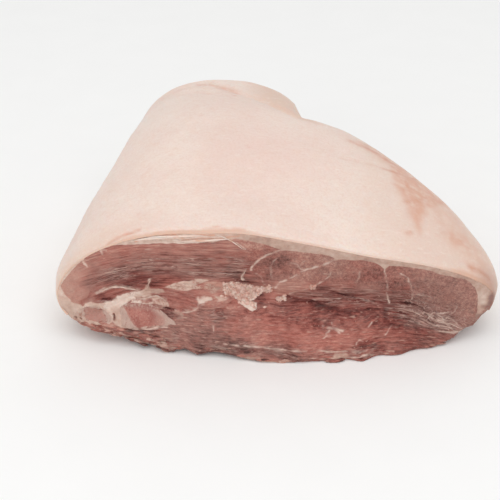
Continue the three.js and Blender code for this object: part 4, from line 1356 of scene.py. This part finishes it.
def bone_end(outline, core_outline, surface, facing, deep=14, rings=30, around=144):
    """A bone's sawn end: rings of the outline shrunk towards its middle, laid on a surface, then led back.
    Also how much each point belongs to the core, from 0 to 1."""
    loop = np.stack(wobbled(*closed_loop(outline, around).T, 0.7, 3.5), -1)
    middle = loop.mean(0)
    share = np.linspace(0, 1, rings + 1)[1:, None, None] ** 0.8
    flat = middle + (loop - middle) * share
    x, z = flat[..., 0], flat[..., 1]
    core = patch(*wobbled(x, z, 1.5, 4), core_outline, 1.1)
    torn = core * (0.5 + 0.4 * rough_noise(x / 2.2, z / 2.2, 2, 9)) + 0.25 * rough_noise(x / 6, z / 6, 2, 4)
    edge = 0.6 * share[..., 0] ** 9
    rows = np.stack([x, surface(x, z) - facing * (torn + edge), z], -1)
    sides = np.stack([rows[-1] - (0, facing * back, 0) for back in (1.5, 5, deep)])
    sides[..., 0], sides[..., 2] = loop[:, 0], loop[:, 1]
    first = [middle[0], rows[0, :, 1].mean(), middle[1]]
    last = [middle[0], sides[-1, :, 1].mean(), middle[1]]
    core = np.concatenate([[1.0], core.ravel(), np.zeros(sides.shape[0] * around + 1)])
    return *capped(np.concatenate([rows, sides]), first, last), core


def sawn(x, z):
    """y of the sawn bones: level with the cut, a little proud of it."""
    return cut_plane(x, z) + seam_depth(x, z, rim_height(x, upper)) - BONE_PROUD


SAWN_BONES = [  # outline, CAD node, redness of core, specks at its border, half width and lines of gristle
    ("hip", "hip_bone", 1.0, 0.2, 2.2, [[(-80, 30.8), (-73.6, 27.8), (-68.4, 24.6), (-65, 22.2)],
                                        [(-103, 28.6), (-100.6, 24), (-97.6, 19.6), (-95, 17)]]),
    ("tail", "tail_bone", 0.55, 0.6, 1.5, [[(-129.6, 17.6), (-130, 21.5), (-128.4, 26), (-125, 28.2),
                                            (-119.5, 28), (-114.8, 25.2), (-110.8, 21.8), (-110, 18.8)]]),
]
for bone, replaced, red, border_specks, grey_wide, grey_lines in SAWN_BONES:
    points, faces, core = bone_end(BONE_OUTLINES[bone], CORE_OUTLINES[bone], sawn, -1)
    upper_side = step(28, 31.5, points[:, 2])
    gap = np.min([line_distance(points[:, 0], points[:, 2], line)[0] for line in grey_lines], axis=0)
    gristle = np.maximum(0.85 * hill(gap, 0, grey_wide), 0.6 * upper_side)
    pale = np.clip(0.7 + 0.5 * rough_noise(points[:, 0] / 5, points[:, 2] / 5, 2, 23), 0, 1)
    specks = np.clip(0.2 + 0.5 * upper_side + 4 * border_specks * core * (1 - core), 0, 1)
    core = core * red * (0.35 + 0.65 * step(-68, -92, points[:, 0]))  # fades towards the belly side
    values = {"core": core, "gristle": gristle, "pale": pale, "specks": specks}
    piece = make_piece(replaced + "_sawn", points, faces, BONE, values)
    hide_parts(replaced)

# %% [markdown]
# ## The meat inside
# Between the two cuts the leg is one body of meat inside its rind. It shows only underneath, where the rind
# is open, as lean with islands of fat. It is the plan's own loft again, drawn in by the thickness of the
# rind where the rind covers it, and it starts behind the chump cut, which overlaps it.

# %% Inner meat
MEAT_ROWS, MEAT_COLUMNS = 130, 300
share = np.linspace(0.12, 0.975, MEAT_ROWS)[:, None]
angle = np.linspace(0, 2 * np.pi, MEAT_COLUMNS + 1)[None, :-1]
right, left = (np.degrees(limit) for limit in rind_limits(share))
inside_rind = np.minimum(upright(angle) - right, left - upright(angle))  # degrees from its nearest edge
meat_covered = step(-1, 3, inside_rind)
body, normal = hide(share, angle)
x, y, z = (body[..., k] for k in range(3))
around = 50 * angle + 0 * share  # mm round the leg, about
# Bare meat is uneven. Meat under the rind lies inside it.
bare = (1 - meat_covered) * (0.4 + 0.8 * np.abs(rough_noise(y / 14, around / 9, 3, 91)))
body = body - normal * (bare + meat_covered * (RIND_THICK + 0.7))[..., None]
body[..., 2] = np.maximum(body[..., 2], 0)
points, faces = capped(body, body[0].mean(0), body[-1].mean(0))


def with_poles(values):
    """Grid values in the order of a capped surface's points."""
    return np.concatenate([[values[0, 0]], values.ravel(), [values[-1, -1]]])


islands = step(0.15, 0.4, rough_noise(y / 24, around / 15, 4, 95))
edge_fat = step(-9, -4, inside_rind + 2 * rough_noise(y / 12, around / 12, 2, 98))
tone = 0.5 + 0.2 * rough_noise(y / 30, around / 20, 3, 93)
fat = np.maximum(0.85 * islands, edge_fat)
values = filled(
    CUT_VALUES, around.shape,
    tone=tone, blood=0.4, thread=0.4, fat=fat, fat_tone=0.5, orange=0.25 * edge_fat, stained=0.3)
values = {key: with_poles(value) for key, value in values.items()}
values["flow"] = np.stack([with_poles(y), with_poles(around), 0 * with_poles(y)], -1) / 1000
inner_meat = make_piece("inner_meat", points, faces, CUT, values)

# %% [markdown]
# ## The hock cut
# At the far end the shank was sawn straight through. The cut shows rings: rind, a band of fat, the shin
# muscles with seams between them, and the shank bone. It is built as rings too, from the middle out to the
# rind, and it is dished, because meat draws back when it is cut. The bone stands a little proud of it.

# %% Hock cut
HOCK_TUCK, SHANK_PROUD = 1.6, 1.2  # mm that the cut lies inside the rind, and that the bone stands out of it
HOCK_RINGS, HOCK_AROUND = 70, 240
HOCK_FAT, HOCK_DEEP = 4.5, 22  # mm: width of the band of fat, and how far the piece reaches back
HOCK_SEAMS = [  # half width, strength and line, in x and z
    (1.0, 0.9, [(-61, 70), (-70, 82), (-72, 96), (-66, 108)]),
    (0.8, 0.9, [(-34, 68), (-22, 80), (-20, 94), (-28, 108)]),
    (0.7, 0.8, [(-22, 80), (-6, 78), (8, 84), (14, 92)]),
    (0.9, 0.9, [(-32, 52), (-16, 48), (0, 52), (12, 60), (22, 62)]),
    (0.7, 0.8, [(-16, 48), (-12, 34), (-18, 20), (-16, 6)]),
    (0.9, 0.9, [(-52, 45), (-54, 32), (-48, 18), (-52, 4)]),
    (0.9, 0.9, [(-66, 58), (-80, 56), (-92, 62), (-104, 60)]),
    (0.7, 0.8, [(-80, 56), (-86, 42), (-80, 28), (-88, 18)]),
    (0.5, 0.6, [(-70, 82), (-84, 80), (-94, 86)]),
    (0.4, 0.5, [(-48, 18), (-38, 24), (-34, 34)]),
]
TENDONS = [(-76, 20, 5.5, 3.8), (-95, 72, 3.6, 5.5), (0, 92, 5, 3.2), (-32, 13, 4.5, 3), (8, 50, 3.2, 4.2)]
HOCK_TONES = [  # x, z and tone of the shin muscles
    (-85, 95, 0.35), (-45, 95, 0.6), (0, 70, 0.3), (-5, 100, 0.5), (0, 25, 0.5), (-35, 30, 0.25),
    (-68, 30, 0.45), (-95, 45, 0.6), (-85, 68, 0.4), (-95, 25, 0.4), (-25, 60, 0.35),
]
HOCK_BONE = [
    (-66, 58), (-63, 68), (-54, 74), (-43, 74), (-33, 68), (-31, 59), (-36, 49), (-47, 46), (-60, 49),
]
angle = np.linspace(0, 2 * np.pi, HOCK_AROUND + 1)[:-1]
rim = np.stack(section(np.ones_like(angle), angle), -1)
middle = rim.mean(0)
reach = np.linalg.norm(rim - middle, axis=1, keepdims=True)
rim = middle + (rim - middle) * (1 - HOCK_TUCK / reach)
share = np.linspace(0, 1, HOCK_RINGS + 1)[1:, None]
flat = middle + (rim - middle) * share[..., None]
x, z = flat[..., 0], flat[..., 1]


def hock_y(x, z):
    """y of the hock cut: an uneven dish, with the seams between the muscles sunk into it."""
    away = np.hypot((x - middle[0]) / 65, (z - middle[1]) / 56)
    depth = HOCK_DISH * np.clip(1 - away**4, 0, 1) + 0.8 * rough_noise(x / 22, z / 22, 3, 31)
    depth += 0.8 * lines_mask(*wobbled(x, z), HOCK_SEAMS, 2.2)
    depth += 0.3 * rough_noise(x / 3.5, z / 3.5, 3, 37)
    return LEG_LENGTH - depth + 0 * x


to_rim = (1 - share) * reach.T
recess = BONE_RECESS * step(0.3, 1.2, inside_depth(x, z, HOCK_BONE))
disc = np.stack([x, hock_y(x, z) - recess - 0.6 * step(1.5, 0, to_rim), z], -1)
sides = np.stack([disc[-1] - (0, back, 0) for back in (3, 8, 14)])
rows = np.concatenate([disc, sides])
front, back = disc[0, :, 1].mean(), LEG_LENGTH - HOCK_DEEP
points, faces = capped(rows, [middle[0], front, middle[1]], [middle[0], back, middle[1]])
near_x, near_z = wobbled(points[:, 0], points[:, 2], 1.2, 7)
rim_gap = np.concatenate([[50], to_rim.ravel(), np.zeros(sides.shape[0] * HOCK_AROUND), [0]])
fat = step(HOCK_FAT + 0.8, HOCK_FAT - 0.8, rim_gap + 2.2 * rough_noise(near_x / 16, near_z / 16, 2, 35))
for tendon_x, tendon_z, wide, high in TENDONS:
    fat = np.maximum(fat, step(1.2, 0.9, np.hypot((near_x - tendon_x) / wide, (near_z - tendon_z) / high)))
tone = charted(near_x, near_z, HOCK_TONES) + 0.2 * rough_noise(near_x / 18, near_z / 18, 2, 39)
seam = lines_mask(near_x, near_z, HOCK_SEAMS) * (0.75 + 0.5 * rough_noise(near_x / 7, near_z / 7, 2, 47))
values = filled(
    CUT_VALUES, len(points),
    tone=tone, blood=0.35, across=1, thread=0.2, net=0.15, fat=fat, fat_tone=0.55, seam=seam,
    orange=0.4 * step(1.5, 0, rim_gap), stained=0.2)
values["flow"] = np.stack([points[:, 0], points[:, 2], 0 * rim_gap], -1) / 1000
hock = make_piece("hock_cut", points, faces, CUT, values)
points, faces, core = bone_end(HOCK_BONE, CORE_OUTLINES["shank"], lambda x, z: hock_y(x, z) + SHANK_PROUD, 1)
values = filled(BONE_VALUES, len(points), core=core, pale=0.6, specks=0.3)
shank = make_piece("shank_bone_sawn", points, faces, BONE, values)
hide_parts("shank_bone")

# %% [markdown]
# ## Grains of soft fat
# The fat between the muscles is soft, and the saw has torn it into grains. Relief on the cut gives the bed,
# and on top of it lie separate grains, all in one mesh: the same small ball, stretched, turned and dented
# each time.

# %% Fat grains
def soft_fat_finish():
    """Soft torn fat: cream with a rose tint, waxy, letting some light through."""
    material, tree, shader = start_material("torn_soft_fat")
    where = node(tree, "place")
    tint, stains = spread(tree, where, 3, 3), spread(tree, where, 3, 2.4, rough=0.7)
    colour = layered(
        tree, "#cc9d8e",
        (node(tree, "remap", tint, 0.35, 0.65), "#e2c4b6"),
        (node(tree, "remap", stains, 0.5, 0.7, 0, 0.6), "#bd806f"),
    )
    fill(tree, shader, {
        "Base Color": colour, "Roughness": 0.42,
        "Subsurface Weight": 0.2, "Subsurface Radius": (1.0, 0.5, 0.35), "Subsurface Scale": 0.0015,
        "Normal": node(tree, "bump", spread(tree, where, 3, 1.0), 0.5, 0.0003)})
    return material


def lumps(centres, sizes, rng, around=10, high=7):
    """Uneven lumps of those radii, as points and faces: balls, stretched, dented by two waves and turned."""
    turn = np.linspace(0, 2 * np.pi, around + 1)[:-1]
    level = np.cos(np.linspace(0, np.pi, high + 1)[1:-1])[:, None]
    wide = np.sqrt(1 - level**2)
    rings = np.stack([wide * np.cos(turn), wide * np.sin(turn), level + 0 * turn], -1)
    ball, faces = capped(rings, (0, 0, 1), (0, 0, -1))
    count = len(centres)
    dents = 1
    for height, waves in ((0.2, 2.6), (0.12, 5.0)):
        direction = rng.standard_normal((count, 3))
        direction /= np.linalg.norm(direction, axis=1, keepdims=True)
        phase = rng.uniform(0, 2 * np.pi, (count, 1))
        dents = dents + height * np.sin(waves * direction @ ball.T + phase)
    spin, _ = np.linalg.qr(rng.standard_normal((count, 3, 3)))
    spin *= np.sign(np.linalg.det(spin))[:, None, None]
    shape = ball * rng.uniform(0.65, 1.3, (count, 1, 3)) * dents[..., None]
    points = np.einsum("nij,nkj->nki", spin, shape) * sizes[:, None, None] + centres[:, None]
    return points.reshape(-1, 3), (faces + len(ball) * np.arange(count)[:, None, None]).reshape(-1, 4)


GRAINS_PER_CM2 = 75
rng = np.random.default_rng(5)
spots = []
for outline in GRANULAR_FAT:
    low, high = np.min(outline, 0), np.max(outline, 0)
    tries = rng.uniform(low, high, (int(np.prod(high - low) / 100 * GRAINS_PER_CM2 * 1.5) + 4, 2))
    spots.append(tries[inside_depth(tries[:, 0], tries[:, 1], outline) > -0.3])
spots = np.concatenate(spots)
sizes = rng.uniform(0.5, 1.3, len(spots))
beads = np.array(FAT_BEADS)
spots, sizes = np.concatenate([spots, beads[:, :2]]), np.concatenate([sizes, beads[:, 2]])
centres = np.stack([spots[:, 0], cut_y(spots[:, 0], spots[:, 1]) + 0.55 * sizes, spots[:, 1]], -1)
points, faces = lumps(centres, sizes, rng)
grains = make_piece("fat_grains", points, faces, soft_fat_finish())

# %% [markdown]
# ## Skins, flaps and torn edges
# Skins between the muscles hang out of the cut where they were pulled rather than sawn, and the rind's edge
# is torn in slivers at the backbone side. Each is a strip: a flat ellipse carried along a line on the cut,
# thinning to a point at both ends.

# %% Strips
STRIPS = [  # line on the cut, half width, half thickness, and how far it stands off, all in mm
    ([(-19.6, 60), (-20.8, 56.6), (-22.8, 53.4), (-22, 51), (-19, 50)], 0.28, 0.25, 0.15),
    ([(-84.6, 43.4), (-83.6, 46.6), (-82, 50.6)], 0.45, 0.6, 0.6),
    ([(-119, 38.5), (-113, 42), (-107, 44.3), (-101, 44.2), (-95, 42.5), (-89, 40.8)], 0.7, 0.5, 0.5),
    ([(109, 12.6), (115, 11), (120.3, 10.2), (126, 9.8)], 0.3, 0.25, 0.1),
    ([(104, 20.4), (110, 18.4), (116, 16.8), (121, 14), (126, 10.8)], 0.3, 0.2, 0.1),
    ([(86, 28.4), (92, 26.4), (99, 22.6)], 0.25, 0.2, 0.1),
    ([(30, 8.6), (38, 7.2), (48, 6.6)], 0.3, 0.25, 0.1),
    ([(-94, 36.4), (-88, 35.8), (-82, 37.6), (-77, 38), (-73.5, 36.6), (-72, 35)], 0.8, 0.35, 0.2),
]
SLIVERS = [  # the same, for the torn skin along the rind's edge
    ([(-91, 82.4), (-82, 84.6), (-70, 85.8), (-54, 86.2)], 1.0, 0.7, 0.7),
    ([(-82, 85.6), (-70, 87), (-56, 87.8), (-46, 88)], 0.8, 0.7, 0.9),
    ([(-62, 83.6), (-48, 84.4), (-36, 85.4), (-28, 86.6)], 0.7, 0.6, 0.6),
    ([(-38, 88.4), (-33, 87), (-27.4, 83.2), (-21, 77.4)], 0.4, 0.35, 0.3),
]


def strip(path, half_wide, half_thick, lift, around=8):
    """Points and faces of one strip: its section is an ellipse, full in the middle, nothing at the ends."""
    line = bent(path, 7)
    x, z = line[:, 0], line[:, 1]
    share = np.linspace(0, 1, len(line))
    full = np.sqrt(np.sin(np.pi * np.clip(share, 0.004, 0.996)))[:, None]
    centre = np.stack([x, cut_y(x, z) - lift * full[:, 0], z], -1)
    ahead = np.gradient(centre, axis=0)
    ahead /= np.linalg.norm(ahead, axis=1, keepdims=True)
    side = np.cross(ahead, [0, -1, 0])
    side /= np.linalg.norm(side, axis=1, keepdims=True)
    out = np.cross(side, ahead)
    uneven = 1 + 0.35 * rough_noise(x / 3, z / 3, 2, 17)[:, None]
    turn = np.linspace(0, 2 * np.pi, around + 1)[:-1]
    rows = centre[:, None] + (side * half_wide * full * uneven)[:, None] * np.cos(turn)[:, None]
    rows = rows + (out * half_thick * full)[:, None] * np.sin(turn)[:, None]
    return capped(rows, centre[0], centre[-1])


def joined(parts):
    """Several (points, faces) as one: the faces of each count on from the points before them."""
    starts = np.cumsum([0] + [len(points) for points, _ in parts[:-1]])
    points = [points for points, _ in parts]
    faces = [faces + start for (_, faces), start in zip(parts, starts)]
    return np.concatenate(points), np.concatenate(faces)


def membrane_finish():
    """Thin wet connective skin: pale, faintly pink, shinier than fat."""
    material, tree, shader = start_material("wet_connective_skin")
    where = node(tree, "place")
    tint = node(tree, "remap", spread(tree, where, 3, 4), 0.35, 0.65)
    fill(tree, shader, {
        "Base Color": layered(tree, "#b89688", (tint, "#d3b8aa")), "Roughness": 0.35,
        "Subsurface Weight": 0.2, "Subsurface Radius": (1.0, 0.5, 0.4), "Subsurface Scale": 0.001,
        "Normal": node(tree, "bump", spread(tree, where, 3, 1.5), 0.5, 0.0003)})
    return material


points, faces = joined([strip(*row) for row in SLIVERS])
raw_edge = step(0.1, 0.5, rough_noise(points[:, 0] / 7, points[:, 2] / 2, 2, 19))
values = filled(RIND_VALUES, len(points), raw_edge=raw_edge, tan=0.3)
slivers = make_piece("rind_slivers", points, faces, RIND, values)
points, faces = joined([strip(*row) for row in STRIPS])
skins = make_piece("loose_skins", points, faces, membrane_finish())

# %% [markdown]
# ## Ragged trimmings
# Along the foot of the cut the knife left scraps of lean and fat hanging. They are lumps again, drawn out
# along the cut. Most lie in its ragged part at the backbone side, where they are larger and slope down.

# %% Trimmings
SCRAPS = 70
SCRAPS_FROM, RAGGED_TO, SCRAPS_TO = -116, -64, 112  # x
DRAWN_OUT, SLOPE = 4, 0.2  # times, and fall per mm
rng = np.random.default_rng(23)
scrap_x = np.concatenate([
    rng.uniform(SCRAPS_FROM, RAGGED_TO, SCRAPS * 2 // 3), rng.uniform(RAGGED_TO, SCRAPS_TO, SCRAPS // 3)])
ragged = scrap_x < RAGGED_TO
sizes = rng.uniform(0.7, 1.9, len(scrap_x)) * np.where(ragged, 1, 0.65)
height = rng.uniform(0, 7, len(scrap_x)) * np.where(ragged, 1, 0.35)
scrap_z = bottom_edge(scrap_x) + sizes * 0.7 + height
centres = np.stack([scrap_x, cut_y(scrap_x, scrap_z) + 0.6 * sizes, scrap_z], -1)
points, faces = lumps(centres * (1 / DRAWN_OUT, 1, 1), sizes, rng)
points[:, 0] *= DRAWN_OUT
each = len(points) // len(sizes)
points[:, 2] -= SLOPE * (points[:, 0] - centres[:, 0].repeat(each)) * (points[:, 0] < RAGGED_TO - 2)
points[:, 2] = np.maximum(points[:, 2], 0)
fat_share = np.where(rng.uniform(size=len(sizes)) < 0.25, 0.5, 0.05).repeat(each)
tones = rng.uniform(0.05, 0.8, len(sizes)).repeat(each)
values = filled(
    CUT_VALUES, len(points),
    tone=tones, blood=0.6, short=1, thread=0.3, fat=fat_share, fat_tone=0.55, stained=0.4)
values["flow"] = np.stack([points[:, 0], points[:, 2], points[:, 1]], -1) / 1000
scraps = make_piece("trimmings", points, faces, CUT, values)

# %% [markdown]
# ## Floor, light and camera
# A plain pale floor and broad soft lights, as in a product studio.

# %% Stage
def floor_finish():
    """Matt white studio paper."""
    material, tree, shader = start_material("studio_paper")
    grain = spread(tree, node(tree, "place"), 2, 40)
    fill(tree, shader, {"Base Color": layered(tree, "#f8f8f7", (grain, "#fbfbfa")), "Roughness": 0.9})
    return material


FLOOR = 4.0  # m from its middle to each side
floor_mesh = bpy.data.meshes.new("floor")
corners = [(-FLOOR, -FLOOR, 0), (FLOOR, -FLOOR, 0), (FLOOR, FLOOR, 0), (-FLOOR, FLOOR, 0)]
floor_mesh.from_pydata(corners, [], [(0, 1, 2, 3)])
floor_mesh.materials.append(floor_finish())
floor = add_object("floor", floor_mesh)

CAMERA_LOOKS_AT, CAMERA_DISTANCE, CAMERA_RISE = (-17, 45, 52), 802, 30  # mm, mm, degrees


def aim(thing, at, distance, azimuth, elevation):
    """Puts a light or camera at a distance from a point, seen from it at those angles, looking at it."""
    azimuth, elevation = np.radians([azimuth, elevation])
    level = np.cos(elevation)
    away = Vector((np.sin(azimuth) * level, -np.cos(azimuth) * level, np.sin(elevation)))
    thing.location = Vector(at) + away * distance
    thing.rotation_euler = (-away).to_track_quat("-Z", "Y").to_euler()


camera_data = bpy.data.cameras.new("camera")
camera_data.lens = 85
camera_data.sensor_width = 36
camera = add_object("camera", camera_data)
looked_at = place(np.array(CAMERA_LOOKS_AT, float))
aim(camera, looked_at, CAMERA_DISTANCE / 1000, 0, CAMERA_RISE)
bpy.context.scene.camera = camera

LIGHTS = [  # name, watts, size in m, distance in m, azimuth and elevation in degrees
    ("overhead", 30, 3.0, 3.0, 10, 68),
    ("front", 4, 1.4, 1.6, -20, 25),
]
for name, watts, size, distance, azimuth, elevation in LIGHTS:
    data = bpy.data.lights.new(name, "AREA")
    data.energy, data.size = watts, size
    aim(add_object(name, data), looked_at, distance, azimuth, elevation)

world = bpy.data.worlds.new("studio")
world.use_nodes = True
fill(world.node_tree, world.node_tree.nodes["Background"], {"Color": "#ffffff", "Strength": 0.72})
bpy.context.scene.world = world
bpy.context.scene.view_settings.view_transform = "Standard"
print("camera at", np.round(camera.location, 3))
